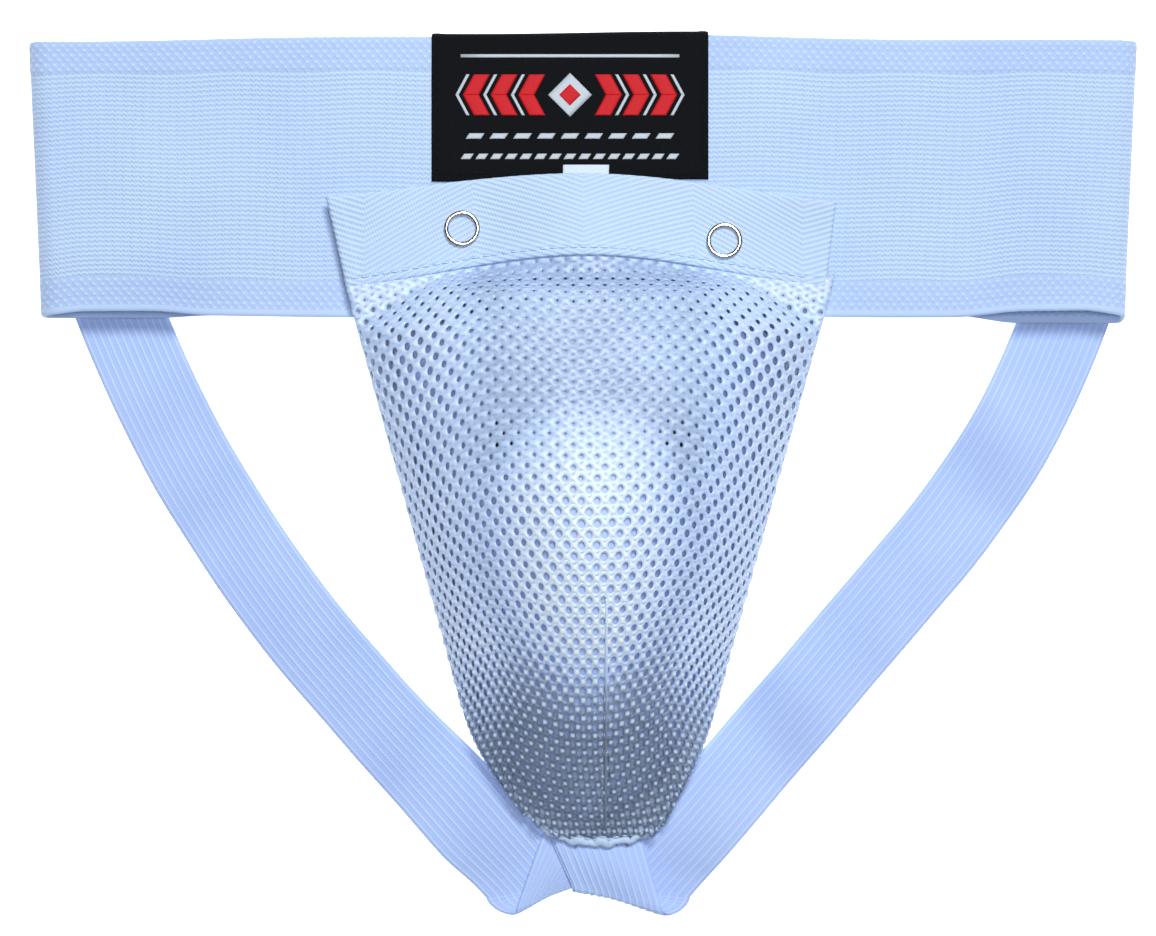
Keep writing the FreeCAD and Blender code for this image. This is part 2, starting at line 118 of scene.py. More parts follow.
def piece(name, shape, material, body, replaces=(), uv=None):
    """A mesh piece from points in millimetres and faces; uv gives each point's cloth place.

    It rides on a body, or on none when no body is given."""
    points, faces = shape
    mesh = bpy.data.meshes.new(name)
    mesh.vertices.add(len(points))
    mesh.vertices.foreach_set("co", (points * MM).astype(np.float32).ravel())
    mesh.loops.add(faces.size)
    mesh.loops.foreach_set("vertex_index", faces.astype(np.int32).ravel())
    mesh.polygons.add(len(faces))
    mesh.polygons.foreach_set("loop_start", np.arange(0, faces.size, faces.shape[1], dtype=np.int32))
    mesh.update(calc_edges=True)
    mesh.validate()
    mesh.polygons.foreach_set("use_smooth", np.ones(len(mesh.polygons), bool))
    if uv is not None:
        corner = np.zeros(len(mesh.loops), np.int32)
        mesh.loops.foreach_get("vertex_index", corner)
        layer = mesh.uv_layers.new(name="cloth")
        layer.data.foreach_set("uv", uv.astype(np.float32)[corner].ravel())
    mesh.materials.append(material)
    made = bpy.data.objects.new(name, mesh)
    bpy.context.scene.collection.objects.link(made)
    if body:
        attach(made, body)
    if replaces:
        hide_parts(*replaces)
    return made


def doubled(along, across):
    """The cloth places of a slab's points, the same for its front and its back."""
    flat = np.stack(np.broadcast_arrays(along, across), -1).reshape(-1, 2)
    return np.concatenate([flat, flat])


def gone(path):
    """The distance along a path of each of its points."""
    return np.concatenate([[0], np.cumsum(np.linalg.norm(np.diff(path, axis=0), axis=1))])


def tube(path, radius, sides=8):
    """A round tube along a path of points, with capped ends."""
    count = len(path)
    tangent = np.gradient(path, axis=0)
    tangent /= np.linalg.norm(tangent, axis=1, keepdims=True)
    side = np.cross(tangent, [0.02, 0.03, 1.0])
    side /= np.linalg.norm(side, axis=1, keepdims=True)
    up = np.cross(side, tangent)
    angle = np.linspace(0, 2 * np.pi, sides, endpoint=False)[None, :, None]
    ring = side[:, None] * np.cos(angle) + up[:, None] * np.sin(angle)
    points = path[:, None] + ring * np.broadcast_to(radius, (count,))[:, None, None]
    caps = []
    for ids, order in ((np.arange(sides), 1), ((count - 1) * sides + np.arange(sides), -1)):
        for k in range(1, sides - 1, 2):
            caps.append(ids[[0, k, k + 1, (k + 2) % sides]][::order])
    return points.reshape(-1, 3), np.concatenate([grid_faces(count, sides, ring=True), caps])


def joined(parts):
    """Several (points, faces) as one."""
    starts = np.cumsum([0] + [len(points) for points, _ in parts])
    faces = [faces + start for (_, faces), start in zip(parts, starts)]
    return np.concatenate([points for points, _ in parts]), np.concatenate(faces)


def smoothstep(low, high, value):
    t = np.clip((value - low) / (high - low), 0, 1)
    return t * t * (3 - 2 * t)


def ripple(x, y, scale, seed):
    """Slow smooth unevenness between about -1 and 1, from a few crossed waves."""
    rng = np.random.default_rng(seed)
    total = 0.0
    for _ in range(5):
        angle, phase, size = rng.uniform(0, np.pi), rng.uniform(0, 6.28), scale * rng.uniform(0.7, 1.6)
        total = total + np.sin((x * np.cos(angle) + y * np.sin(angle)) * 2 * np.pi / size + phase)
    return total / 5


# ------------------------------------------------------------------ materials


class Nodes:
    """A material's node tree, with short calls for the sums that its patterns need."""

    def __init__(self, name):
        self.material = bpy.data.materials.new(name)
        self.material.use_nodes = True
        self.tree = self.material.node_tree
        self.shader = self.tree.nodes["Principled BSDF"]

    def new(self, kind, **values):
        node = self.tree.nodes.new(kind)
        for key, value in values.items():
            setattr(node, key, value)
        return node

    def link(self, source, target):
        self.tree.links.new(source, target)

    def sum(self, operation, *values):
        node = self.new("ShaderNodeMath", operation=operation)
        for socket, value in zip(node.inputs, values):
            if isinstance(value, (int, float)):
                socket.default_value = value
            else:
                self.link(value, socket)
        return node.outputs[0]

    def cloth(self):
        """The cloth's own place, along and across, in millimetres."""
        uv = self.new("ShaderNodeUVMap", uv_map="cloth")
        split = self.new("ShaderNodeSeparateXYZ")
        self.link(uv.outputs[0], split.inputs[0])
        return split.outputs[0], split.outputs[1]

    def times(self, value, factor):
        return self.sum("MULTIPLY", value, factor)

    def line(self, value, slope, base):
        """slope x value + base."""
        return self.sum("MULTIPLY_ADD", value, slope, base)

    def wave(self, value, pitch, phase=0.0):
        """A sine from -1 to 1 of the given pitch."""
        return self.sum("SINE", self.line(value, 2 * math.pi / pitch, phase))

    def noise(self, scale, detail=3.0):
        where = self.new("ShaderNodeTexCoord")
        node = self.new("ShaderNodeTexNoise")
        for socket, number in (("Scale", scale), ("Detail", detail), ("Roughness", 0.55)):
            node.inputs[socket].default_value = number
        self.link(where.outputs["Object"], node.inputs["Vector"])
        return node.outputs["Fac"]

    def woven(self, pattern, fuzz, patches, weight, stops):
        """Colour and height of a pattern: fuzz is the scale and share of the fine noise in its height,
        and patches the scale, share and base of the broad noise in its tone."""
        height = self.line(self.noise(fuzz[0]), fuzz[1], pattern)
        broad = self.line(self.noise(patches[0], 2.0), patches[1], patches[2])
        return self.ramp(self.line(pattern, weight, broad), stops), height

    def eased(self, value, low, high, start, end):
        """A value that goes smoothly from start, at low and below, to end, at high and above."""
        node = self.new("ShaderNodeMapRange", interpolation_type="SMOOTHSTEP")
        self.link(value, node.inputs["Value"])
        for socket, number in (("From Min", low), ("From Max", high), ("To Min", start), ("To Max", end)):
            node.inputs[socket].default_value = number
        return node.outputs[0]

    def ramp(self, factor, stops):
        node = self.new("ShaderNodeValToRGB")
        ramp = node.color_ramp
        while len(ramp.elements) < len(stops):
            ramp.elements.new(0.5)
        for element, (place, colour) in zip(ramp.elements, stops):
            element.position = place
            element.color = (*colour, 1.0)
        self.link(factor, node.inputs[0])
        return node.outputs[0]

    def finish(self, colour, height=None, depth=0.0, roughness=None, **constants):
        """Joins colour, bump height (of the given depth, in millimetres) and roughness to the shader."""
        inputs = self.shader.inputs
        self.link(colour, inputs["Base Color"])
        if height is not None:
            bump = self.new("ShaderNodeBump")
            bump.inputs["Strength"].default_value = 1.0
            bump.inputs["Distance"].default_value = depth * MM
            self.link(height, bump.inputs["Height"])
            self.link(bump.outputs[0], inputs["Normal"])
        if roughness is not None:
            self.link(roughness, inputs["Roughness"])
        for key, value in constants.items():
            inputs[key.replace("_", " ")].default_value = value
        return self.material


def shades(colour, dark, light, lean=(1.0, 1.0, 1.0)):
    """Three stops of one colour, darkened, plain and lightened; lean is how far each channel darkens."""
    c = np.array(colour)
    low = c * (1 - (1 - dark) * np.array(lean))
    return [(0.0, tuple(low)), (0.5, tuple(c)), (1.0, tuple(np.minimum(c * light, 1.0)))]


def tinted(colour, dark, light):
    """Shades whose blue changes much less than their red and green."""
    return shades(colour, dark, light, (1.0, 0.9, 0.25))


BAND_BLUE = (0.485, 0.645, 0.930)
STRAP_BLUE = (0.430, 0.575, 0.950)
TAPE_BLUE = (0.515, 0.680, 0.940)
# the net's deepest tone is its darker tone and its painted shade at the foot, its brightest its painted
# highlight and glints
MESH_DEEP_AND_SHADE, MESH_BLUE, MESH_HIGHLIGHT = (0.13, 0.19, 0.30), (0.480, 0.640, 0.940), (0.82, 0.93, 1.0)

RIB_PITCH, DOT_ROW, DOT_PITCH = 1.32, 1.37, 2.4
ZIG_PITCH, ZIG_LEAN = 1.6, 0.45
BORDER_TOP, BORDER_LOW, LIP = 9.2, 10.0, 2.0
BAND_WIDTH, BAND_ROWS = 76.0, 232


def band_material():
    n = Nodes("waist_elastic")
    along, across = n.cloth()
    dots = n.times(n.wave(along, DOT_PITCH), n.wave(across, 2 * DOT_ROW))
    dots = n.sum("POWER", n.sum("MAXIMUM", dots, 0.0), 1.6)
    columns = n.wave(along, DOT_PITCH / 2, 1.2)
    border = n.line(columns, 0.25, n.line(dots, 2.6, -0.95))
    zigzag = n.times(n.sum("PINGPONG", n.sum("ADD", along, 1000.0), ZIG_PITCH / 2), ZIG_LEAN)
    wander = n.times(n.wave(along, 37.0), 0.3)
    ribs = n.wave(n.sum("ADD", n.sum("ADD", across, zigzag), wander), RIB_PITCH, 0.6)
    twist = n.wave(n.line(across, 0.7, along), 0.95)
    middle = n.line(twist, 0.3, n.times(ribs, 0.85))
    low = n.sum("GREATER_THAN", across, BORDER_LOW)
    high = n.sum("LESS_THAN", across, BAND_WIDTH - BORDER_TOP)
    mix = n.new("ShaderNodeMix", data_type="FLOAT")
    for socket, value in enumerate((n.times(low, high), border, middle)):
        n.link(value, mix.inputs[socket + (socket > 0)])
    pattern = n.times(mix.outputs[0], n.sum("GREATER_THAN", across, LIP))
    colour, height = n.woven(pattern, (1400.0, 0.35), (22.0, 0.5, 0.25), 0.34, tinted(BAND_BLUE, 0.80, 1.20))
    return n.finish(colour, height, 0.09, Roughness=0.85, Sheen_Weight=0.12, Sheen_Roughness=0.5)


STRAP_WIDTH = 24.2
STRAP_RIB = STRAP_WIDTH / 13


def strap_material():
    n = Nodes("strap_elastic")
    along, across = n.cloth()
    ridge = n.sum("POWER", n.sum("ABSOLUTE", n.wave(across, 2 * STRAP_RIB)), 12.0)
    rungs = n.times(n.times(n.wave(along, 0.62), n.sum("SUBTRACT", 1.0, ridge)), 0.30)
    pattern = n.sum("ADD", ridge, rungs)
    colour, height = n.woven(pattern, (1500.0, 0.3), (28.0, 0.6, 0.05), 0.5, tinted(STRAP_BLUE, 0.82, 1.28))
    return n.finish(colour, height, 0.07, Roughness=0.8, Sheen_Weight=0.12, Sheen_Roughness=0.5)


TWILL_PITCH, TWILL_ZONE, TWILL_LEAN = 1.45, 30.0, 0.40


def tape_material():
    n = Nodes("herringbone_tape")
    along, across = n.cloth()
    back = n.sum("PINGPONG", n.sum("ADD", along, 8 * TWILL_ZONE), TWILL_ZONE)
    ridge = n.wave(n.line(n.sum("SUBTRACT", TWILL_ZONE, back), TWILL_LEAN, across), TWILL_PITCH)
    steps = n.wave(n.line(across, 0.4, along), 0.8)
    pattern = n.line(steps, 0.35, ridge)
    colour, height = n.woven(pattern, (1300.0, 0.5), (30.0, 0.4, 0.3), 0.3, tinted(TAPE_BLUE, 0.82, 1.16))
    return n.finish(colour, height, 0.07, Roughness=0.85, Sheen_Weight=0.1, Sheen_Roughness=0.5)


HOLE_PITCH, HOLE_ROW = 4.3, 3.0
FIRST_HOLE = -2.0  # the first row of holes, down from the mouth


def mesh_material():
    """Close filaments, with painted glints on the knuckles between the holes of a row, a painted
    highlight over the cup's peak, painted light down its steep sides, and painted shade that darkens the net
    towards the foot, where it is drawn in."""
    n = Nodes("spacer_mesh")
    across, down = n.cloth()
    filament = n.wave(n.line(down, 1.3, across), 0.42)
    fuzz = n.noise(900.0)
    height = n.line(filament, 0.4, fuzz)
    columns = n.wave(across, HOLE_PITCH, math.pi / 2)
    rows = n.wave(n.sum("SUBTRACT", down, FIRST_HOLE), 2 * HOLE_ROW, math.pi / 2)
    # painted glint: a pale spot on the knuckle between each two holes of a row
    knuckle = n.sum("MAXIMUM", n.times(n.times(columns, rows), -1.0), 0.0)
    knuckle = n.times(knuckle, n.sum("POWER", rows, 4.0))
    wear = n.line(fuzz, 0.25, n.times(n.noise(35.0, 2.0), 0.25))
    # painted highlight: this line and the next two lighten an oval over the cup's peak
    aside = n.sum("POWER", n.sum("DIVIDE", across, 25.0), 2.0)
    beyond = n.sum("POWER", n.sum("DIVIDE", n.sum("SUBTRACT", down, 87.0), 32.0), 2.0)
    painted_peak_highlight = n.eased(n.sum("ADD", aside, beyond), 0.0, 2.0, 0.44, 0.0)
    # painted light: lighter down the steep sides of the cup
    painted_side_light = n.eased(n.sum("ABSOLUTE", across), 24.0, 46.0, 0.0, 0.20)
    # painted shade: darker towards the foot
    drawn = n.eased(down, 112.0, 160.0, 0.0, -0.42)
    # how strong the painted knuckle glints are, growing towards the foot
    bold = n.eased(down, 84.0, 130.0, 0.16, 0.80)
    # level and tone carry the painted highlight, light and shade into the net's colour
    level = n.sum("ADD", n.sum("ADD", painted_peak_highlight, painted_side_light), drawn)
    tone = n.sum("ADD", n.line(knuckle, bold, wear), level)
    colour = n.ramp(tone, [(0.0, MESH_DEEP_AND_SHADE), (0.38, MESH_BLUE), (1.0, MESH_HIGHLIGHT)])
    gloss = {"Roughness": 0.36, "Specular_IOR_Level": 0.9}
    return n.finish(colour, height, 0.025, Sheen_Weight=0.12, Sheen_Roughness=0.35, **gloss)


def plain_cloth(name, colour, pitch=0.55, depth=0.08):
    n = Nodes(name)
    where = n.new("ShaderNodeTexCoord")
    split = n.new("ShaderNodeSeparateXYZ")
    n.link(where.outputs["Object"], split.inputs[0])
    pattern = n.times(n.wave(split.outputs[0], pitch * MM), n.wave(split.outputs[1], pitch * MM))
    colour, height = n.woven(pattern, (1200.0, 0.5), (40.0, 0.5, 0.25), 0.15, shades(colour, 0.84, 1.1))
    return n.finish(colour, height, depth, Roughness=0.9, Sheen_Weight=0.2)


LABEL_BLACKS = (0.001, 0.002, 0.003), (0.0025, 0.004, 0.006), (0.012, 0.015, 0.02)


def label_material():
    n = Nodes("woven_label")
    along, across = n.cloth()
    pattern = n.line(n.wave(across, 0.5), 0.5, n.wave(n.sum("ADD", along, across), 0.7))
    fuzz = n.noise(1500.0)
    height = n.line(fuzz, 0.6, pattern)
    tone = n.line(pattern, 0.2, n.times(fuzz, 0.7))
    colour = n.ramp(tone, list(zip((0.0, 0.5, 1.0), LABEL_BLACKS)))
    return n.finish(colour, height, 0.05, Roughness=0.85, Specular_IOR_Level=0.18)


def thread_material(name, colour, rough=0.55, sheen=0.2, shine=0.5):
    n = Nodes(name)
    fuzz = n.noise(2500.0)
    colour = n.ramp(fuzz, shades(colour, 0.8, 1.12))
    return n.finish(colour, fuzz, 0.06, Roughness=rough, Sheen_Weight=sheen, Specular_IOR_Level=shine)


def metal_material():
    n = Nodes("nickel_plate")
    scuff = n.noise(500.0, 4.0)
    colour = n.ramp(scuff, [(0.0, (0.40, 0.37, 0.32)), (1.0, (0.60, 0.57, 0.50))])
    return n.finish(colour, scuff, 0.01, n.line(scuff, 0.14, 0.12), Metallic=1.0)


def plastic_material():
    n = Nodes("cup_plastic")
    grain = n.noise(700.0, 4.0)
    colour = n.ramp(n.noise(24.0, 2.0), shades((0.42, 0.56, 0.90), 0.95, 1.03))
    return n.finish(colour, grain, 0.02, n.line(grain, 0.16, 0.46), Coat_Weight=0.05, Coat_Roughness=0.4)


def rubber_material():
    n = Nodes("rim_edging")
    grain = n.noise(900.0, 4.0)
    colour = n.ramp(grain, shades((0.52, 0.64, 0.90), 0.92, 1.06))
    return n.finish(colour, grain, 0.03, Roughness=0.6)


BAND = band_material()
STRAP = strap_material()
TAPE = tape_material()
MESH = mesh_material()
LABEL = label_material()
LINING = plain_cloth("lining_knit", (0.62, 0.76, 0.97))
HEM = plain_cloth("hem_cloth", (0.54, 0.70, 0.95), 0.8, 0.08)
TAB = plain_cloth("care_tab_cloth", (0.72, 0.84, 0.98), 0.4, 0.04)
THREAD = thread_material("white_thread", (0.58, 0.74, 0.97))
RED = thread_material("red_thread", (0.58, 0.008, 0.016), 0.6, sheen=0.02, shine=0.2)
GREY = thread_material("grey_thread", (0.50, 0.58, 0.66))
METAL = metal_material()
PLASTIC = plastic_material()
RUBBER = rubber_material()


# ------------------------------------------------------------------ the frame's facts


def span(node):
    """A CAD node's lowest and highest corners, in millimetres."""
    low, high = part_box(node)
    return np.array(low) / MM, np.array(high) / MM


BAND_LOW, BAND_HIGH = span("waistband")
LABEL_LOW, LABEL_HIGH = span("woven_label")
TAPE_LOW, TAPE_HIGH = span("mouth_tape")


# ------------------------------------------------------------------ waist loop

BAND_CLOTH = 1.6
SIDE_LEAN = 3.4  # how far each end of the loop leans in towards its lower edge
FRONT_Z = BAND_HIGH[2] - BAND_CLOTH / 2
BACK_Z = BAND_LOW[2] + BAND_CLOTH / 2


def loop_line(front_step, back_step):
    """The loop seen from below: places along the front, the right turn, the back and the left turn."""
    radius = (FRONT_Z - BACK_Z) / 2
    reach = BAND_HIGH[0] - BAND_CLOTH / 2 - radius
    middle = (FRONT_Z + BACK_Z) / 2
    front = np.arange(-reach, reach, front_step)
    turn = np.linspace(np.pi / 2, -np.pi / 2, 15)
    back = np.arange(reach, -reach, -back_step)[1:]
    right = np.stack([reach + radius * np.cos(turn), middle + radius * np.sin(turn)], 1)
    left = np.stack([-reach - radius * np.cos(turn[1:-1]), middle - radius * np.sin(turn[1:-1])], 1)
    front_line = np.stack([front, np.full(len(front), FRONT_Z)], 1)
    back_line = np.stack([back, np.full(len(back), BACK_Z)], 1)
    line = np.concatenate([front_line, right, back_line, [[-reach, BACK_Z]], left])
    # the ends of the elastic meet at the middle of the back
    return np.roll(line, -(len(front) + len(right) + len(back) // 2), axis=0)


def band_low_edge(x, frontness):
    """The loop's lower edge: nearly straight in front, with the back layer showing at the corners only."""
    left, right = smoothstep(104, 122, -x), smoothstep(104, 124, x)
    corner = smoothstep(140, 153, np.abs(x))
    front = BAND_LOW[1] - 1.2 + 0.35 * np.sin(x / 23.0 + 0.8) + (1.1 * left + 1.4 * right) * (1 - corner)
    back = BAND_LOW[1] - 0.6 - 0.8 * left - 2.2 * right
    return front * frontness + back * (1 - frontness)


def band_high_edge(x):
    """The loop's upper edge, a touch higher beside the label."""
    return BAND_HIGH[1] - 1.6 + 1.7 * np.exp(-((x / 90.0) ** 2)) + 0.25 * np.sin(x / 17.0)


def weave_relief(across):
    """Height of the elastic's weave: ribs in the middle, finer rows and a lip at the borders."""
    top = BAND_WIDTH - BORDER_TOP
    ribs = 0.012 * np.cos(2 * np.pi * across / RIB_PITCH)
    rows = 0.035 * np.cos(np.pi * across / DOT_ROW)
    in_low = 1 - smoothstep(BORDER_LOW - 0.3, BORDER_LOW + 0.3, across)
    in_high = smoothstep(top - 0.3, top + 0.3, across)
    border = np.clip(in_low + in_high, 0, 1)
    relief = ribs * (1 - border) + rows * border + 0.10 * border
    lip = np.exp(-(((across - 1.0) / 0.8) ** 2))
    groove = np.exp(-(((across - BORDER_LOW) / 0.45) ** 2)) + np.exp(-(((across - top) / 0.45) ** 2))
    edge = np.minimum(across, BAND_WIDTH - across)
    return relief + 0.10 * lip - 0.07 * groove - 0.55 * np.exp(-edge / 0.35)


def make_waistband():
    line = loop_line(2.0, 4.0)
    across = np.linspace(0, BAND_WIDTH, BAND_ROWS)
    frontness = smoothstep(BACK_Z + 2.0, FRONT_Z - 2.0, line[:, 1])
    share = across / BAND_WIDTH
    low = band_low_edge(line[:, 0], frontness)
    high = band_high_edge(line[:, 0])
    lean = 1 - SIDE_LEAN / BAND_HIGH[0] * (1 - share)
    x = line[:, 0][:, None] * lean[None, :]
    y = low[:, None] + (high - low)[:, None] * share[None, :]
    z = line[:, 1][:, None] + 0 * x
    inner = 1 - smoothstep(118, 146, np.abs(x))
    z = z + 0.28 * ripple(x, y * 1.6, 46.0, 3) * inner * frontness[:, None]
    z = z - 0.9 * frontness[:, None] * smoothstep(0.75, 1.0, 1 - share)[None, :] * smoothstep(60, 120, -x)
    points = np.stack([x, y, z], -1)
    step = np.linalg.norm(np.diff(line, axis=0, append=line[:1]), axis=1)
    along = np.concatenate([[0], np.cumsum(step)[:-1]])
    relief = weave_relief(across)[None, :]
    cloth = slab(points, BAND_CLOTH - 0.4, relief, relief * 0.5, closed=True)
    places = doubled(along[:, None], across[None, :])
    band = piece("waist_loop", cloth, BAND, "garment", ["waistband"], places)


def make_waistband_join():
    """The lapped end of the elastic, sewn flat at the middle of the back."""
    low, high = span("waistband_join")
    x = np.linspace(low[0], high[0], 25)
    across = np.linspace(0, BAND_WIDTH, BAND_ROWS)
    y = low[1] - 1.6 + across * (high[1] - low[1] + 0.4) / BAND_WIDTH
    points = np.stack(np.broadcast_arrays(x[:, None], y[None, :], (low[2] + high[2]) / 2), -1)
    end = np.minimum(x - low[0], high[0] - x)
    relief = weave_relief(across)[None, :] * 0.5 - 0.25 * np.exp(-end / 0.5)[:, None]
    cloth = slab(points, high[2] - low[2] - 0.3, relief, relief)
    places = doubled(x[:, None], across[None, :])
    lap = piece("waistband_lap", cloth, BAND, "garment", ["waistband_join"], places)
    rows = []
    zig = np.arange(44)
    for column in (low[0] + 3.0, high[0] - 3.0):
        spots = column + 1.2 * (-1.0) ** zig, low[1] + 2.0 + zig * 1.62, 0 * zig + low[2] + 0.22
        path = np.stack(spots, 1)
        rows.append(tube(path, 0.2, 6))
    piece("lap_zigzag", joined(rows), THREAD, "garment")


# ------------------------------------------------------------------ threads


def walk(path, places):
    """Points of a path at the given distances along it."""
    return np.stack([np.interp(places, gone(path), path[:, k]) for k in range(3)], 1)


def stitches(path, length, gap, radius):
    """Short threads along a path, each dipping into the cloth at both ends."""
    rows = []
    for k in range(int(gone(path)[-1] // (length + gap))):
        start = k * (length + gap) + random.uniform(-0.08, 0.08) * length
        points = walk(path, start + np.linspace(0, length, 6))
        points[:, 2] += np.array([-0.15, 0.45, 0.8, 0.8, 0.45, -0.15]) * radius * 1.5
        rows.append(tube(points, radius * np.array([0.6, 1.0, 1.1, 1.1, 1.0, 0.6]), 6))
    return joined(rows)


# ------------------------------------------------------------------ woven label

FACE_Z = LABEL_HIGH[2] - 0.3


def label_line():
    """The label seen from its side: its face, the turn over the loop's edge and the tail inside."""
    fold, tail_end = LABEL_HIGH[1] - 1.2, LABEL_HIGH[1] - 16.0
    back_z = LABEL_LOW[2] + 0.3
    middle, radius = (FACE_Z + back_z) / 2, (FACE_Z - back_z) / 2
    angle = np.linspace(np.pi / 2, -np.pi / 2, 9)[1:-1]
    face = np.stack([np.linspace(LABEL_LOW[1], fold, 70), np.full(70, FACE_Z)], 1)
    turn = np.stack([fold + radius * np.cos(angle), middle + radius * np.sin(angle)], 1)
    tail = np.stack([np.linspace(fold, tail_end, 16), np.full(16, middle - radius)], 1)
    return np.concatenate([face, turn, tail])


def make_label():
    across = np.linspace(LABEL_LOW[0], LABEL_HIGH[0], 110)
    line = label_line()
    points = np.zeros((len(across), len(line), 3))
    points[..., 0] = across[:, None]
    points[..., 1] = line[None, :, 0] + 0.35 * np.sin(across / 19.0)[:, None]
    points[..., 2] = line[None, :, 1] + 0.12 * ripple(points[..., 0], points[..., 1], 24.0, 5)
    step = gone(line)
    side = np.minimum(across - across[0], across[-1] - across)[:, None]
    hem = 0.12 * smoothstep(3.0, 2.4, side) * smoothstep(0.0, 0.4, side)
    low_hem = 0.10 * smoothstep(2.2, 1.8, step)[None, :]
    relief = np.maximum(hem, low_hem) - 0.2 * np.exp(-np.minimum(side, step[None, :]) / 0.25)
    places = doubled(across[:, None], step[None, :])
    cloth = slab(points, 0.45, relief, 0.0)
    label = piece("blank_label", cloth, LABEL, "garment", ["woven_label"], places)
    inset = 1.7
    x0, x1, y0, y1 = LABEL_LOW[0] + inset, LABEL_HIGH[0] - inset, LABEL_LOW[1] + inset, LABEL_HIGH[1] - 1.0
    path = np.array([(x0, y1, 0), (x0, y0, 0), (x1, y0, 0), (x1, y1, 0)]) + [0, 0, FACE_Z + 0.28]
    piece("label_stitches", stitches(path, 2.0, 0.7, 0.16), LABEL, "garment")


def satin(outline, level):
    """A raised patch of close thread inside a four-cornered outline, its rows lying along its width."""
    corners = np.array(outline, float)
    height = np.linalg.norm(corners[3] - corners[0])
    rows, columns = max(8, int(height / 0.16)), 9
    t, s = np.meshgrid(np.linspace(0, 1, rows), np.linspace(0, 1, columns), indexing="ij")
    low = corners[0] + (corners[1] - corners[0]) * s[..., None]
    high = corners[3] + (corners[2] - corners[3]) * s[..., None]
    plan = low + (high - low) * t[..., None]
    rise = 0.28 * (0.45 + 0.55 * np.sin(np.pi * s) ** 0.5) * np.minimum(1, np.minimum(t, 1 - t) * 12 + 0.4)
    rise = rise + 0.035 * np.cos(np.pi * np.arange(rows))[:, None]
    points = np.concatenate([plan, (level + rise)[..., None]], -1)[:, ::-1]
    base = points.copy()
    base[..., 2] = level - 0.12
    return shell(points, base)


def slanted(x, y, width, height, lean):
    """Corners of a parallelogram about (x, y)."""
    w, h = width / 2, height / 2
    return [(x - w - lean, y - h), (x + w - lean, y - h), (x + w + lean, y + h), (x - w + lean, y + h)]


def make_emblem():
    """A plain sporty pattern on the label: chevrons either side of a lozenge, over two rows of dashes."""
    middle = (LABEL_LOW[0] + LABEL_HIGH[0]) / 2
    y = LABEL_LOW[1] + 23.5
    level = FACE_Z + 0.22
    arm = 5.6
    red, grey = [], []
    for side in (-1, 1):
        for k in range(3):
            x = middle + side * (10.5 + 7.6 * k)
            for shade, shift, width in ((red, 0.0, 4.4), (grey, 3.8, 0.9)):
                for half in (1, -1):
                    bar = slanted(x + side * shift, y + half * arm / 2, width, arm, -half * side * 1.5)
                    shade.append(satin(bar, level))
    for size, shade, lift in ((6.0, grey, 0.0), (3.0, red, 0.2)):
        lozenge = [(middle - size, y), (middle, y - size), (middle + size, y), (middle, y + size)]
        shade.append(satin(lozenge, level + lift))
    for line_y, count, width in ((LABEL_LOW[1] + 12.2, 9, 4.2), (LABEL_LOW[1] + 6.6, 15, 2.6)):
        for k in range(count):
            x = middle + (k - (count - 1) / 2) * width * 1.55
            grey.append(satin(slanted(x, line_y, width, 1.5, 0.5), level))
    grey.append(satin(slanted(middle, LABEL_LOW[1] + 34.2, 60.0, 0.9, 0.0), level))
    piece("emblem_red", joined(red), RED, "garment")
    piece("emblem_grey", joined(grey), GREY, "garment")


# ------------------------------------------------------------------ mouth tape

TAPE_WIDTH = 24.0
FOLD_END = 3.4  # how far the cloth turned under at the lower edge reaches up
TAPE_BASE = TAPE_LOW[2] + 0.7  # middle of the cloth beside the studs
BOW = 9.0
BOW_HALF = 35.0


def bow(x):
    """Share of the tape's bulge at x: full in the middle, none from the studs outwards."""
    return np.cos(np.pi / 2 * np.minimum(np.abs(x - 1.0) / BOW_HALF, 1.0)) ** 2


def tape_low_edge(x):
    """The tape's lower edge, lifted in the middle by what is under it."""
    return TAPE_LOW[1] + 0.2 + 8.8 * np.cos(np.pi / 2 * np.minimum(np.abs(x - 0.9) / 68.0, 1.0)) ** 1.35


def tape_high_edge(x):
    """The tape's upper edge, bowed up between its two ends."""
    ends = np.where(x < 0, 75.8, 74.6)
    return ends + (TAPE_HIGH[1] - ends) * np.cos(np.pi / 2 * np.minimum(np.abs(x + 1.0) / 70.0, 1.0)) ** 1.2


def tape_height(x, share):
    """Height of the middle of the tape's cloth; share runs from the lower to the upper edge."""
    sink = 1 - 0.42 * share**1.3
    curl = 0.9 * smoothstep(0.55, 1.0, share) * smoothstep(40, 66, np.abs(x))
    return TAPE_BASE + BOW * bow(x) * sink + curl + 0.25 * ripple(x, share * 24.0, 31.0, 8)


def twill_relief(along, across):
    """Height of the herringbone: ridges that turn back at each zone's edge."""
    fold = np.abs((along + 8 * TWILL_ZONE) % (2 * TWILL_ZONE) - TWILL_ZONE)
    return 0.028 * np.sin(2 * np.pi * (across + TWILL_LEAN * fold) / TWILL_PITCH)


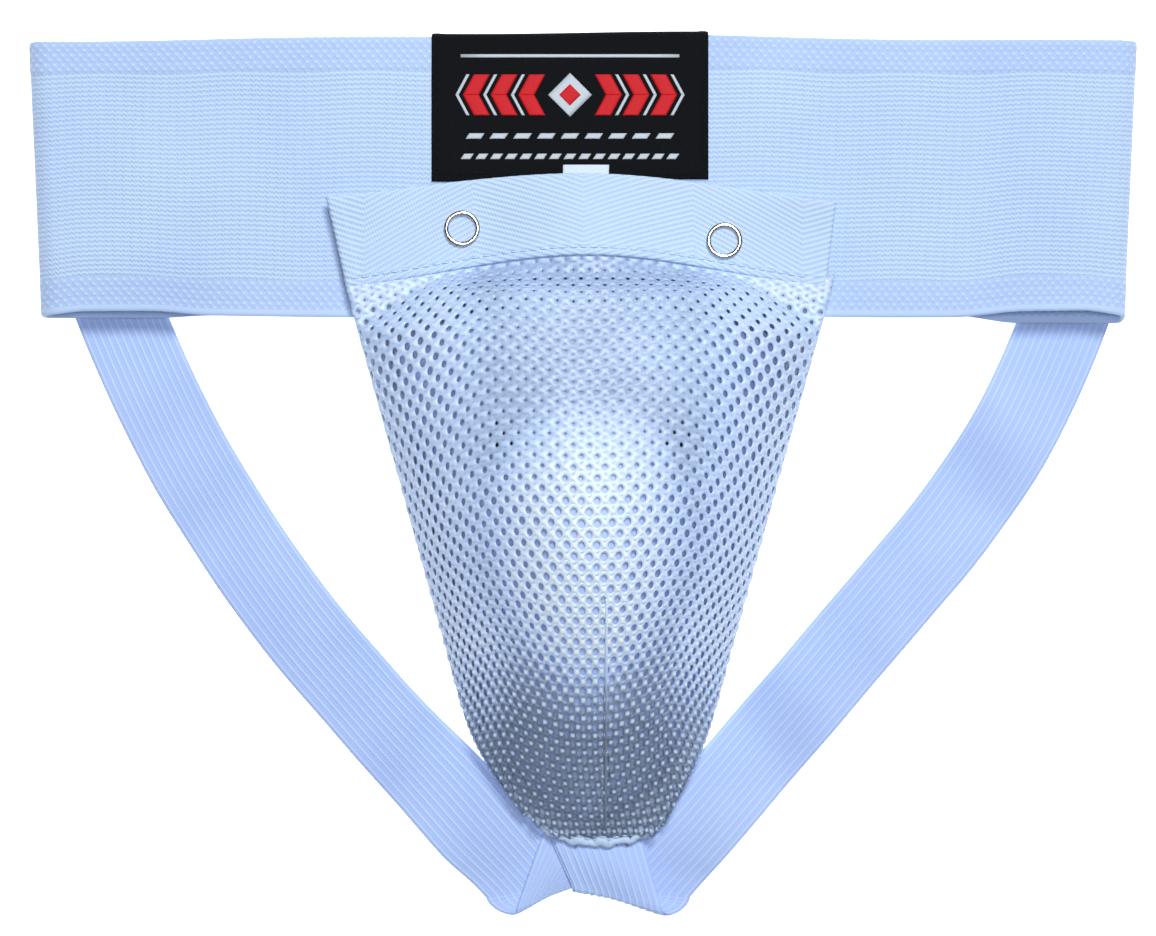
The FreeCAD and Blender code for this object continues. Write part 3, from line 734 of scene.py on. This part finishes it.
def make_mouth_tape():
    share = np.linspace(0, 1, 120)[None, :]
    left, right = TAPE_LOW[0] + 5.6 * (1 - share), TAPE_HIGH[0] - 2.8 * (1 - share)
    x = left + (right - left) * np.linspace(0, 1, 230)[:, None]
    low, high = tape_low_edge(x), tape_high_edge(x)
    points = np.stack([x, low + (high - low) * share, tape_height(x, share + 0 * x)], -1)
    across = share * TAPE_WIDTH
    plain = smoothstep(FOLD_END - 0.4, FOLD_END + 0.4, across)
    seam = 0.22 * np.exp(-(((across - 2.3) / 0.5) ** 2))
    end = np.minimum(x - left, right - x)
    edge = np.minimum(np.minimum(across, TAPE_WIDTH - across), end)
    relief = twill_relief(x, across) * (0.35 + 0.65 * plain) + 0.22 * (1 - plain)
    relief = relief - seam + 0.18 * smoothstep(4.2, 3.6, end) - 0.55 * np.exp(-edge / 0.3)
    cloth = slab(points, 1.0, relief, -0.1)
    tape = piece("mouth_binding", cloth, TAPE, None, ["mouth_tape"], doubled(x, across))
    row = np.linspace(TAPE_LOW[0] + 7.0, TAPE_HIGH[0] - 5.0, 200)
    low, high = tape_low_edge(row), tape_high_edge(row)
    rise = 2.3 / TAPE_WIDTH
    path = np.stack([row, low + (high - low) * rise, tape_height(row, rise + 0 * row) + 0.72], 1)
    sewn = stitches(path, 2.1, 0.7, 0.2)
    thread = piece("binding_stitches", sewn, THREAD, None, ["tape_stitch"])
    # both are left on no body, with their placement baked into their points
    for thing in (tape, thread):
        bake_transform(thing)


def make_care_tab():
    low, high = span("care_tab")
    x = np.linspace(low[0], high[0], 26)[:, None]
    v = np.linspace(0, 1, 34)[None, :]
    curl = -0.3 * np.sin(v * 2.4) - 0.01 * (x - x.mean()) ** 2
    spots = x + 0.3 * v, low[1] + (high[1] - low[1]) * v, (low[2] + high[2]) / 2 + curl
    edge = np.minimum(x - low[0], high[0] - x)
    cloth = slab(np.stack(np.broadcast_arrays(*spots), -1), 0.34, 0.08 * np.exp(-edge / 0.7), 0.0)
    tab = piece("blank_tab", cloth, TAB, "mouth_flap", ["care_tab"])


# ------------------------------------------------------------------ press studs


TURN_SIDES = 56
SOCKET = (
    (2.1, 0.0), (3.6, 0.0), (4.2, 0.25), (4.4, 0.8), (4.4, 1.6), (4.1, 2.1), (3.4, 2.2),
    (2.7, 2.2), (2.2, 1.9), (2.1, 1.5), (2.35, 1.1), (2.35, 0.7), (2.1, 0.4),
)
POST = (
    (0.01, 0.0), (4.3, 0.0), (4.4, 0.15), (4.4, 0.5), (4.2, 0.7), (3.4, 0.75), (2.2, 0.7), (1.55, 0.9),
    (1.45, 1.4), (1.5, 1.8), (1.75, 2.1), (1.75, 2.35), (1.5, 2.55), (0.9, 2.6), (0.01, 2.6),
)


def lathe(profile, node):
    """A turned piece: (radius, height) points spun about a node's middle, from the node's underside."""
    low, high = span(node)
    x, y = (low[:2] + high[:2]) / 2
    radius, height = np.array(profile, float).T
    angle = np.linspace(0, 2 * np.pi, TURN_SIDES, endpoint=False)[:, None]
    spots = x + radius * np.cos(angle), y + radius * np.sin(angle), low[2] + height
    points = np.stack(np.broadcast_arrays(*spots), -1).reshape(-1, 3)
    faces = grid_faces(TURN_SIDES, len(radius), closed=True, ring=True)
    return points, np.roll(faces[:, ::-1], 1, axis=1)


def ring_section():
    """The rounded section of an open ring, as (radius, height) points."""
    angle = np.linspace(0, 2 * np.pi, 14, endpoint=False)
    c, s = np.cos(angle), np.sin(angle)
    radius = 4.3 + 0.62 * np.sign(c) * np.abs(c) ** 0.8
    return np.stack([radius, 0.62 + 0.55 * np.sign(s) * np.abs(s) ** 0.8], 1)


def make_studs():
    parts = (
        ("open_ring_ring_cap", "ring_cap", "mouth_flap", ring_section()),
        ("open_ring_back_ring", "back_ring", "garment", ring_section()),
        ("snap_socket", "socket", "mouth_flap", SOCKET),
        ("snap_post", "stud", "garment", POST),
    )
    for side in ("left", "right"):
        for name, node, body, profile in parts:
            turned = lathe(profile, f"{node}_{side}")
            piece(f"{name}_{side}", turned, METAL, body, [f"{node}_{side}"])


# ------------------------------------------------------------------ pouch surface

POUCH_BASE, POUCH_TILT, POUCH_MIDDLE = 11.4, math.radians(4.74), 1.6
HIP, TAPER, KNEE = 52.27, 0.2718, -62.8
DRAW, SWAY = 0.0071, 0.0023
LIP_TOP, LIP_END, PEAK_Y, PEAK_H = 18.0, 5.0, -15.0, 41.0
CUP_TOP, CUP_END = 48.0, -95.5
NET_RISE = 0.75
SEAM_X = 4.6
SECTION_POWER, SECTION_ROUNDING = 2.0, 0.92


def pouch_half(y):
    """Half the pouch's width: straight sides, drawn in below the knee."""
    return HIP + TAPER * y - DRAW * np.maximum(0, KNEE - y) ** 2


def pouch_axis(y):
    """The pouch's middle line, which sways to one side at the foot."""
    return SWAY * np.maximum(0, KNEE - y) ** 2


def crown(y):
    """Height of the cup along its middle line."""
    up = np.clip((y - PEAK_Y) / (CUP_TOP - PEAK_Y), 0, 1.2)
    down = np.clip((PEAK_Y - y) / (PEAK_Y - CUP_END), 0, 1.08)
    upper = LIP_TOP + (PEAK_H - LIP_TOP) * np.cos(np.pi / 2 * up)
    lower = LIP_END + (PEAK_H - LIP_END) * np.cos(np.pi / 2 * down)
    return np.where(y > PEAK_Y, upper, lower)


def to_world(x, y, z):
    """Points of the pouch's own tilted plane in the part's frame."""
    c, s = math.cos(POUCH_TILT), math.sin(POUCH_TILT)
    return np.stack([x + POUCH_MIDDLE, y * c - z * s, POUCH_BASE + y * s + z * c], -1)


def net_point(x, y):
    """A point of the net's middle surface, for a place in the pouch's own plane."""
    half = pouch_half(y)
    off = np.abs(x - pouch_axis(y))
    mouth = np.clip((y - 40.0) / 18.0, 0.0, 1.0)
    u = np.minimum(off / (half + (34.0 - half) * mouth), 1.0)
    wall = 3.2 * (1 - mouth) + 1.4 * mouth
    z = NET_RISE + wall + (crown(y) - wall) * (1 - u**SECTION_POWER) ** SECTION_ROUNDING
    tuck = 0.5 * smoothstep(-30, -45, y) * np.exp(-(((x - SEAM_X) / 1.3) ** 2))
    ridge = 0.9 * smoothstep(-28, -42, y) * np.exp(-(((x - SEAM_X) / 0.55) ** 2))
    z = z - tuck + ridge + 0.3 * ripple(x, y, 34.0, 12)
    point = to_world(x, y, z)
    level = tape_height(point[..., 0], 0 * x) - 0.9
    share = smoothstep(50.0, 58.0, y)
    point[..., 2] = point[..., 2] * (1 - share) + level * share
    return point


class NetCloth:
    """The net laid over the cup: cloth places (p across, q down from the mouth) to points in space."""

    WALL = 4.5

    def __init__(self):
        self.y = np.linspace(62.0, -103.5, 340)
        self.p = np.linspace(-100.0, 100.0, 261)
        surface = np.zeros((len(self.y), len(self.p), 3))
        self.reach = np.zeros((len(self.y), 2))
        for k, y in enumerate(self.y):
            for column, sign in enumerate((-1, 1)):
                arch = np.sin(np.linspace(0, np.pi / 2, 90))
                x = pouch_axis(y) + sign * pouch_half(y) * arch
                line = net_point(x, np.full(90, y))
                drop = np.linspace(0.3, self.WALL, 8)
                foot = line[-1] - np.stack([sign * 0.04 * drop**2, 0 * drop, drop], 1)
                line = np.concatenate([line, foot])
                self.reach[k, column] = gone(line)[-1]
                mine = self.p * sign >= 0
                surface[k, mine] = walk(line, np.abs(self.p[mine]))
        self.surface = surface
        self.q = np.linspace(-6.0, 215.0, 340)
        self.rows = np.zeros((len(self.q), len(self.p)))
        for column in range(len(self.p)):
            line = surface[:, column]
            mouth = np.interp(0.0, tape_low_edge(line[:, 0]) - line[:, 1], gone(line))
            self.rows[:, column] = np.interp(self.q, gone(line) - mouth, np.arange(len(self.y)))

    def row_of(self, p, q):
        """The row in the surface table, as a fraction, of a cloth place."""
        row = (q - self.q[0]) / (self.q[1] - self.q[0])
        return self.between(self.rows[..., None], row, self.column_of(p))[..., 0]

    def column_of(self, p):
        return (p - self.p[0]) / (self.p[1] - self.p[0])

    @staticmethod
    def between(table, row, column):
        """A table's value between its grid points."""
        row = np.clip(row, 0, table.shape[0] - 1.001)
        column = np.clip(column, 0, table.shape[1] - 1.001)
        r, c = row.astype(int), column.astype(int)
        fr, fc = (row - r)[..., None], (column - c)[..., None]
        top = table[r, c] * (1 - fc) + table[r, c + 1] * fc
        low = table[r + 1, c] * (1 - fc) + table[r + 1, c + 1] * fc
        return top * (1 - fr) + low * fr

    def place(self, p, q):
        return self.between(self.surface, self.row_of(p, q), self.column_of(p))

    def normal(self, p, q):
        across = self.place(p + 0.6, q) - self.place(p - 0.6, q)
        down = self.place(p, q + 0.6) - self.place(p, q - 0.6)
        n = np.cross(down, across)
        return n / np.maximum(np.linalg.norm(n, axis=-1, keepdims=True), 1e-9)

    def side_reach(self, p, q):
        """Length of cloth from the middle line to the seam on p's side, at a place."""
        row = self.row_of(p, q)
        left, right = self.reach[:, 0], self.reach[:, 1]
        index = np.arange(len(self.y))
        return np.where(p > 0, np.interp(row, index, right), np.interp(row, index, left))


# ------------------------------------------------------------------ net pouch

HOLE_WIDE, HOLE_TALL = 0.86, 1.12
NET_LOW = -103.2


def cell_points():
    """The outline of one cell of the net round (0, 0), and the way each of its points lies."""
    a, h = HOLE_PITCH / 2, HOLE_ROW
    side = (a * a + h * h) / 2
    flank = (side - a * a) / h
    tip = side / h
    quarter = [(a, 0.0), (a, flank), (a / 2, (flank + tip) / 2), (0.0, tip)]
    upper = quarter + [(-x, y) for x, y in quarter[-2::-1]]
    lower = [(x, -y) for x, y in upper[-2:0:-1]]
    return np.array(upper + lower)


def net_foot(x):
    """Where the net ends at the foot, in the pouch's own plane."""
    return NET_LOW + 0.02 * (x - 3.0) ** 2


def gathered(p, q):
    """Where a cloth place lies on the pouch: towards the foot the net is drawn in from its sides,
    which lifts the outer ends of its rows."""
    draw = smoothstep(60.0, 150.0, q)
    return p * (1 - 0.30 * draw), q - 5.5 * draw * np.minimum(np.abs(p) / 34.0, 1.0) ** 2


def hole_opening(p, q):
    """How far the holes stand open: shut where the net is sewn in, drawn small over the cup's
    upper slope, and stretched wide down the sides and at the foot."""
    sewn = 0.12 + 0.88 * smoothstep(2.5, 6.5, q)
    slope = np.exp(-((p / 37.0) ** 4)) * smoothstep(8.0, 14.0, q) * (1 - smoothstep(50.0, 80.0, q))
    lip = 0.42 * (1 - smoothstep(10.0, 26.0, q)) * (1 - slope)
    foot = smoothstep(108.0, 136.0, q)
    side = smoothstep(30.0, 50.0, np.abs(p))
    return sewn * (1 - 0.66 * slope - lip) * (1 + 0.26 * foot + 0.10 * side)


def net_cells(cloth):
    """Cloth places of the cells that lie inside the pouch's seams."""
    column, row = np.meshgrid(np.arange(-28, 29), np.arange(0, 80))
    p = ((column + 0.5 * (row % 2)) * HOLE_PITCH).ravel()
    q = (row * HOLE_ROW + FIRST_HOLE).ravel()
    aside, down = gathered(p, q)
    where = cloth.place(aside, down)
    inside = np.abs(aside) < cloth.side_reach(aside, down) - 1.0
    inside &= where[:, 1] > net_foot(where[:, 0] - POUCH_MIDDLE) + 0.9
    return p[inside], q[inside]


def cell_rings(p, q):
    """Five rings of points for each cell, from its outline on the front down through its hole and
    out to its outline on the back: their cloth places and heights."""
    outline = cell_points()
    angle = np.arctan2(outline[:, 1] / HOLE_TALL, outline[:, 0] / HOLE_WIDE)
    hole = np.stack([HOLE_WIDE * np.cos(angle), HOLE_TALL * np.sin(angle)], 1)
    wobble = random.uniform(0.90, 1.08, (len(p), 1, 1))
    middle = np.stack([p, q], 1)[:, None, :]
    rim = middle + outline[None, :, :]
    gap = middle + hole[None, :, :] * hole_opening(p, q)[:, None, None] * wobble
    gap = gap + random.uniform(-0.10, 0.10, (len(p), 1, 2))
    knuckle = (np.abs(outline[:, 1]) < 0.01) * 0.42
    shoulder = (np.abs(np.abs(outline[:, 1]) - 0.76) < 0.1) * 0.16
    bump = (knuckle + shoulder) * (0.45 + 0.55 * smoothstep(84.0, 130.0, rim[..., 1]))
    spots = np.stack([rim, rim * 0.45 + gap * 0.55, gap, gap, rim])
    flat = 0 * bump
    heights = np.stack([0.28 + bump, 0.22 + 0.7 * bump, flat, flat - 0.30, flat - 0.36])
    return spots.reshape(-1, 2), heights.ravel()


def welded(cells, corners, spots, heights):
    """The cells as one mesh: their faces with shared points merged, and a wall along the raw edge."""
    ring = cells * corners
    base, k = np.arange(cells)[:, None] * corners, np.arange(corners)
    this, following = (base + k).ravel(), (base + (k + 1) % corners).ravel()
    quads = np.stack([this, following, following + ring, this + ring], -1)
    faces = np.concatenate([quads + level * ring for level in range(4)])
    keys = np.round(np.concatenate([spots * 200, heights[:, None] * 200], 1)).astype(np.int64)
    _, first, same = np.unique(keys, axis=0, return_index=True, return_inverse=True)
    same = same.reshape(-1)
    edge = np.sort(np.stack([same[this], same[following]], 1), axis=1)
    _, inverse, count = np.unique(edge, axis=0, return_inverse=True, return_counts=True)
    alone = count[inverse.reshape(-1)] == 1
    wall = np.stack([following, this, this + 4 * ring, following + 4 * ring], -1)[alone]
    return spots[first], heights[first], same[np.concatenate([faces, wall])]


def make_net(cloth):
    p, q = net_cells(cloth)
    spots, heights, faces = welded(len(p), len(cell_points()), *cell_rings(p, q))
    aside, down = gathered(spots[:, 0], spots[:, 1])
    soft = 0.5
    reach = cloth.side_reach(aside, down) - soft
    over = np.maximum(0, np.abs(aside) - reach)
    aside = np.sign(aside) * np.where(over > 0, reach + soft * (1 - np.exp(-over / soft)), np.abs(aside))
    points = cloth.place(aside, down) + cloth.normal(aside, down) * heights[:, None]
    net = piece("net_pouch", (points, faces[:, ::-1]), MESH, "garment", ["pouch_mesh"], spots)
    return net


# ------------------------------------------------------------------ pouch edges

SEAM_INSET = 1.3
HEM_TOP = -97.4  # where the side edges run into the hem


def edge_path(side):
    """The line of the pouch's side seam, from its top down to the hem."""
    y = np.linspace(50.0, HEM_TOP, 150)
    x = pouch_axis(y) + side * (pouch_half(y) - SEAM_INSET)
    return to_world(x, y, 1.1 + 0 * y)


def foot_path():
    """The line of the hem round the pouch's foot, a little ruffled."""
    t = np.linspace(-1, 1, 110)
    x = pouch_axis(HEM_TOP) + (pouch_half(HEM_TOP) - SEAM_INSET) * t
    ruffle = (1 - t**2) * (0.35 * np.sin(19 * t + 1.0) + 0.25 * np.sin(31 * t))
    y = HEM_TOP - 4.6 * (1 - t**2) ** 0.7 + ruffle
    return to_world(x, y, 1.3 + 0.9 * (1 - t**2) + 0.6 * ruffle)


def wraps(path, radius, pitch, thread):
    """Threads over a rolled edge, one every pitch along it."""
    rows = []
    upward = np.array([0, 0, 1.0])
    angle = np.linspace(-0.5, np.pi + 0.3, 9)[:, None]
    for k in range(int(gone(path)[-1] // pitch)):
        here, there = walk(path, [k * pitch, k * pitch + 0.4])
        ahead = (there - here) / np.linalg.norm(there - here)
        arc = here + radius * (np.cos(angle) * np.cross(ahead, upward) + np.sin(angle) * upward)
        rows.append(tube(arc + ahead * (angle / np.pi) * pitch * 0.6, thread, 6))
    return joined(rows)


def make_edges():
    for side, name in ((-1, "left"), (1, "right")):
        path = edge_path(side)
        piece(f"rolled_edge_{name}", tube(path, 1.15, 12), HEM, "garment", [f"side_seam_{name}"])
        piece(f"overlock_{name}", wraps(path, 1.2, 2.1, 0.17), THREAD, "garment")
    path = foot_path()
    count = len(path)
    swell = 1.2 + 0.22 * np.sin(np.linspace(0, 26, count)) * np.sin(np.linspace(0, np.pi, count))
    taper = 0.35 + 0.65 * np.sin(np.linspace(0.15, np.pi - 0.15, count)) ** 0.4
    piece("foot_hem", tube(path, swell * taper, 16), HEM, "garment", ["bottom_hem"])
    piece("foot_stitches", stitches(path + [0, 1.2, 1.3], 1.6, 0.7, 0.16), THREAD, "garment")


def make_centre_seam():
    """The sewn dart down the lower half of the net."""
    count, sides = 120, 8
    y = np.linspace(-30.0, -98.0, count)
    line = net_point(np.full(count, SEAM_X), y) + [0, 0, 0.25]
    places = np.stack([np.full(count, HOLE_PITCH / 4), 60.0 - y * 1.2], 1).repeat(sides, axis=0)
    seam = piece("dart_ridge", tube(line, 0.36, sides), MESH, "garment", ["centre_seam"], places)
    beside = net_point(np.full(count, SEAM_X - 1.0), y) + [0, 0, 0.5]
    return seam, piece("dart_stitches", stitches(beside, 1.2, 1.6, 0.11), THREAD, "garment")


def make_lining():
    """The soft back of the pouch, a little slack between its seams."""
    y = np.linspace(55.5, -101.6, 150)[:, None]
    t = np.linspace(-1, 1, 90)[None, :]
    x = pouch_axis(y) + (pouch_half(y) - 1.2) * t
    y = y + 0 * t
    edge = (1 - np.abs(t) ** 3) * smoothstep(-101.6, -80, y)
    points = to_world(x, y, -0.45 + 0.25 * ripple(x, y, 38.0, 21) * edge)
    gauge = 0.05 * np.cos(2 * np.pi * x / 2.6)
    cloth = slab(points[:, ::-1], 0.5, gauge, gauge)
    lining = piece("lining_panel", cloth, LINING, "garment", ["pouch_lining"])


# ------------------------------------------------------------------ cup


def moulded(node, name, voxel, material):
    """A CAD node's shape with its edges rounded over, as it comes from a mould."""
    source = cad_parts[node]
    made = bpy.data.objects.new(name, source.data.copy())
    bpy.context.scene.collection.objects.link(made)
    remesh = made.modifiers.new("remesh", "REMESH")
    remesh.mode = "VOXEL"
    remesh.voxel_size = voxel * MM
    soften = made.modifiers.new("soften", "SMOOTH")
    soften.factor = 0.5
    soften.iterations = 9
    bpy.context.view_layer.update()
    mesh = bpy.data.meshes.new_from_object(made.evaluated_get(bpy.context.evaluated_depsgraph_get()))
    made.modifiers.clear()
    made.data = mesh
    mesh.polygons.foreach_set("use_smooth", np.ones(len(mesh.polygons), bool))
    mesh.materials.clear()
    mesh.materials.append(material)
    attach(made, "cup")
    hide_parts(node)


def make_cup():
    moulded("cup_shell", "cup_moulding", 0.9, PLASTIC)
    moulded("cup_rim", "cup_edging", 0.7, RUBBER)


# ------------------------------------------------------------------ leg straps

STRAP_CLOTH = 0.9
STRAPS = {
    "left": {
        "sign": -1, "foot": (14.1, -116.0), "heading": 41.2, "straight": 81.0, "bend": 345.0, "run": 217.0,
        "fold": ((-0.6, -112.8), (-26.8, -117.6)), "tab": ((-2.8, -113.8), (-18.4, -120.2)),
        "seam": ((13.0, -101.5), (-10.9, -98.9)), "layer": 1, "bold": 1.0, "sway": 0.6, "spread": 2.0,
    },
    "right": {
        "sign": 1, "foot": (15.2, -116.0), "heading": 40.5, "straight": 123.0, "bend": 216.0, "run": 219.0,
        "fold": ((-1.4, -114.2), (29.8, -117.2)), "tab": ((-3.0, -114.0), (21.6, -119.6)),
        "seam": ((-8.9, -101.0), (16.4, -101.5)), "layer": 2, "bold": 3.2, "sway": 2.9, "spread": 0.0,
    },
}


def strap_place(strap, along, offset):
    """A point of a strap's long run: straight from the fold, then bending upright on an arc."""
    heading = math.radians(strap["heading"])
    straight = np.minimum(along, strap["straight"])
    turn = np.maximum(0.0, along - strap["straight"]) / strap["bend"]
    chord = 2 * strap["bend"] * np.sin(turn / 2)
    x = strap["foot"][0] + straight * math.sin(heading) + chord * np.sin(heading - turn / 2)
    y = strap["foot"][1] + straight * math.cos(heading) + chord * np.cos(heading - turn / 2)
    x = x + offset * np.cos(heading - turn)
    y = y - offset * np.sin(heading - turn)
    return np.stack([strap["sign"] * x, y], -1)


def strap_relief(across):
    """Thirteen fine cords along the strap between two flat selvages."""
    cord = np.abs(np.cos(np.pi * (across - STRAP_WIDTH / 2) / STRAP_RIB)) ** 12
    edge = np.minimum(across, STRAP_WIDTH - across)
    body = smoothstep(2.2, 2.8, edge)
    return 0.08 * cord * body + 0.04 * (1 - body) - 0.35 * np.exp(-edge / 0.25)


def across_line(strap, key, share):
    """Points of one of the strap's crossing lines, from its inner to its outer end."""
    inner, outer = np.array(strap[key])
    return inner + (outer - inner) * share[:, None]


def strap_run(strap, share, base):
    """The long run from the waist to the fold, lying in soft waves."""
    along = np.concatenate([np.arange(strap["run"], 30.0, -1.6), np.linspace(30.0, 0.0, 34)[:-1]])
    s, o = np.meshgrid(along, (share - 0.5) * STRAP_WIDTH, indexing="ij")
    spread = strap["spread"] * np.exp(-(((s - 30.0) / 22.0) ** 2)) * (1 - share) ** 2
    turn = across_line(strap, "fold", share)[None] - strap_place(strap, 0 * s, o)
    plan = strap_place(strap, s, o - spread) + turn * (1 - smoothstep(0.0, 27.0, s))[..., None]
    free = smoothstep(6.0, 34.0, s) * (1 - smoothstep(strap["run"] - 52.0, strap["run"] - 30.0, s))
    wave = 1.3 + 1.3 * np.sin(s / 9.5 + strap["sway"] + 0.012 * o) * np.sin(s / 31.0 + strap["sway"])
    wave = wave + 0.45 + 0.45 * np.sin(s / 4.8 + 2.0 * strap["sway"] + 0.03 * o)
    lift = free * wave * (1 + 0.02 * o * np.sin(s / 17.0))
    return np.concatenate([plan, (base + np.maximum(0, lift))[..., None]], -1)


def strap_fold(strap, share, base, top, puff):
    """The turn at the foot, from the run up to the tab that lies on it."""
    crease, tab = across_line(strap, "fold", share), across_line(strap, "tab", share)
    inner, outer = np.array(strap["fold"])
    away = np.array([(outer - inner)[1], -(outer - inner)[0]])
    away = away / np.linalg.norm(away)
    away = away * (-1 if away[1] > 0 else 1)
    radius = (top - base) / 2
    rows = []
    for angle in np.linspace(-np.pi / 2, np.pi / 2, 16):
        up = (1 + math.sin(angle)) / 2
        spot = crease + (tab - crease) * up + away * (radius + 1.1 * puff) * math.cos(angle)
        height = (top + base) / 2 + radius * math.sin(angle) + puff * up
        rows.append(np.concatenate([spot, height], 1))
    return rows


def strap_tab(strap, share, top, puff):
    """The end of the strap, from the fold back up to the seam at the pouch's foot."""
    crease, seam = across_line(strap, "tab", share), across_line(strap, "seam", share)
    rows = []
    for t in np.linspace(0, 1, 26)[1:]:
        swell = 0.9 * math.sin(math.pi * t) * np.sin(np.pi * share)[:, None] * (strap["layer"] - 0.6)
        rows.append(np.concatenate([crease + (seam - crease) * t, top + swell + puff * (1 - t) ** 1.5], 1))
    return rows


def make_strap(side):
    strap = STRAPS[side]
    share = np.linspace(0, 1, 106)
    puff = 1.9 * smoothstep(0.35, 1.0, share)[:, None]
    base = STRAP_CLOTH / 2 + 0.18
    top = base + strap["layer"] * 1.25
    run = strap_run(strap, share, base)
    fold, tab = strap_fold(strap, share, base, top, puff), strap_tab(strap, share, top, puff)
    points = np.concatenate([run, fold, tab])
    if strap["sign"] < 0:
        points = points[:, ::-1]
    far = gone(points[:, 53])
    across = share * STRAP_WIDTH
    on_tab = smoothstep(far[len(run)] - 6.0, far[len(run)] + 3.0, far)[:, None]
    bold = 1 + (strap["bold"] - 1) * on_tab * (1 - 0.6 * smoothstep(0.4, 0.8, share))[None, :]
    end = np.minimum(far, far[-1] - far)[:, None]
    relief = strap_relief(across)[None, :] * bold - 0.2 * np.exp(-end / 0.4)
    cloth = slab(points, STRAP_CLOTH, relief, relief)
    places = doubled(far[:, None], across[None, :])
    name = f"leg_elastic_{side}"
    made = piece(name, cloth, STRAP, "garment", [f"leg_strap_{side}"], places)


def make_strap_stitches():
    """A crossed box of stitches inside the loop, where each strap is sewn on."""
    for side in ("left", "right"):
        low, high = span(f"strap_stitch_{side}")
        corners = [(0, 0), (1, 0), (1, 1), (0, 1), (0, 0), (1, 1), (1, 0), (0, 1)]
        box = low + 0.6 + (high - low - 1.2) * np.array([(x, y, 0) for x, y in corners])
        box[:, 2] = low[2] + 0.15
        thread = stitches(box, 2.2, 0.6, 0.2)
        piece(f"box_stitch_{side}", thread, THREAD, "garment", [f"strap_stitch_{side}"])


# ------------------------------------------------------------------ floor, light and camera


def floor_material():
    n = Nodes("pale_floor")
    colour = n.ramp(n.noise(30.0, 2.0), [(0.0, (0.93, 0.93, 0.93)), (1.0, (0.95, 0.95, 0.95))])
    return n.finish(colour, Roughness=0.9, Emission_Color=(1, 1, 1, 1), Emission_Strength=0.82)


def make_floor():
    mesh = bpy.data.meshes.new("floor")
    corners = [(-3.0, -3.0, 0), (3.0, -3.0, 0), (3.0, 3.0, 0), (-3.0, 3.0, 0)]
    mesh.from_pydata(corners, [], [(0, 1, 2, 3)])
    mesh.materials.append(floor_material())
    floor = bpy.data.objects.new("floor", mesh)
    bpy.context.scene.collection.objects.link(floor)


def area_light(name, place, target, size, power):
    light = bpy.data.lights.new(name, "AREA")
    light.energy = power
    light.shape = "DISK"
    light.size = size
    lamp = bpy.data.objects.new(name, light)
    lamp.location = place
    lamp.rotation_euler = (Vector(target) - Vector(place)).to_track_quat("-Z", "Y").to_euler()
    bpy.context.scene.collection.objects.link(lamp)


def make_light():
    area_light("key", (0.24, 0.80, 1.48), (0, 0, 0), 0.45, 19.5)
    area_light("front_fill", (0.05, 0.06, 1.75), (0, 0, 0), 0.4, 12.0)
    world = bpy.data.worlds.new("studio")
    world.use_nodes = True
    world.node_tree.nodes["Background"].inputs[0].default_value = (1, 1, 1, 1)
    world.node_tree.nodes["Background"].inputs[1].default_value = 0.07
    bpy.context.scene.world = world
    bpy.context.scene.view_settings.view_transform = "Standard"


def make_camera():
    data = bpy.data.cameras.new("camera")
    data.sensor_width = 36.0
    data.lens = 134.6
    camera = bpy.data.objects.new("camera", data)
    camera.location = (-0.0014, 0.0017, 1.2)
    bpy.context.scene.collection.objects.link(camera)
    bpy.context.scene.camera = camera


# ------------------------------------------------------------------ everything


def main():
    make_camera()
    make_floor()
    make_light()
    make_waistband()
    make_waistband_join()
    make_label()
    make_emblem()
    make_cup()
    cloth = NetCloth()
    net = make_net(cloth)
    make_edges()
    flattened = [net, *make_centre_seam()]
    for thing in flattened:
        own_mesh(thing)
    make_lining()
    make_mouth_tape()
    make_care_tab()
    make_studs()
    for side in STRAPS:
        make_strap(side)
    make_strap_stitches()


main()
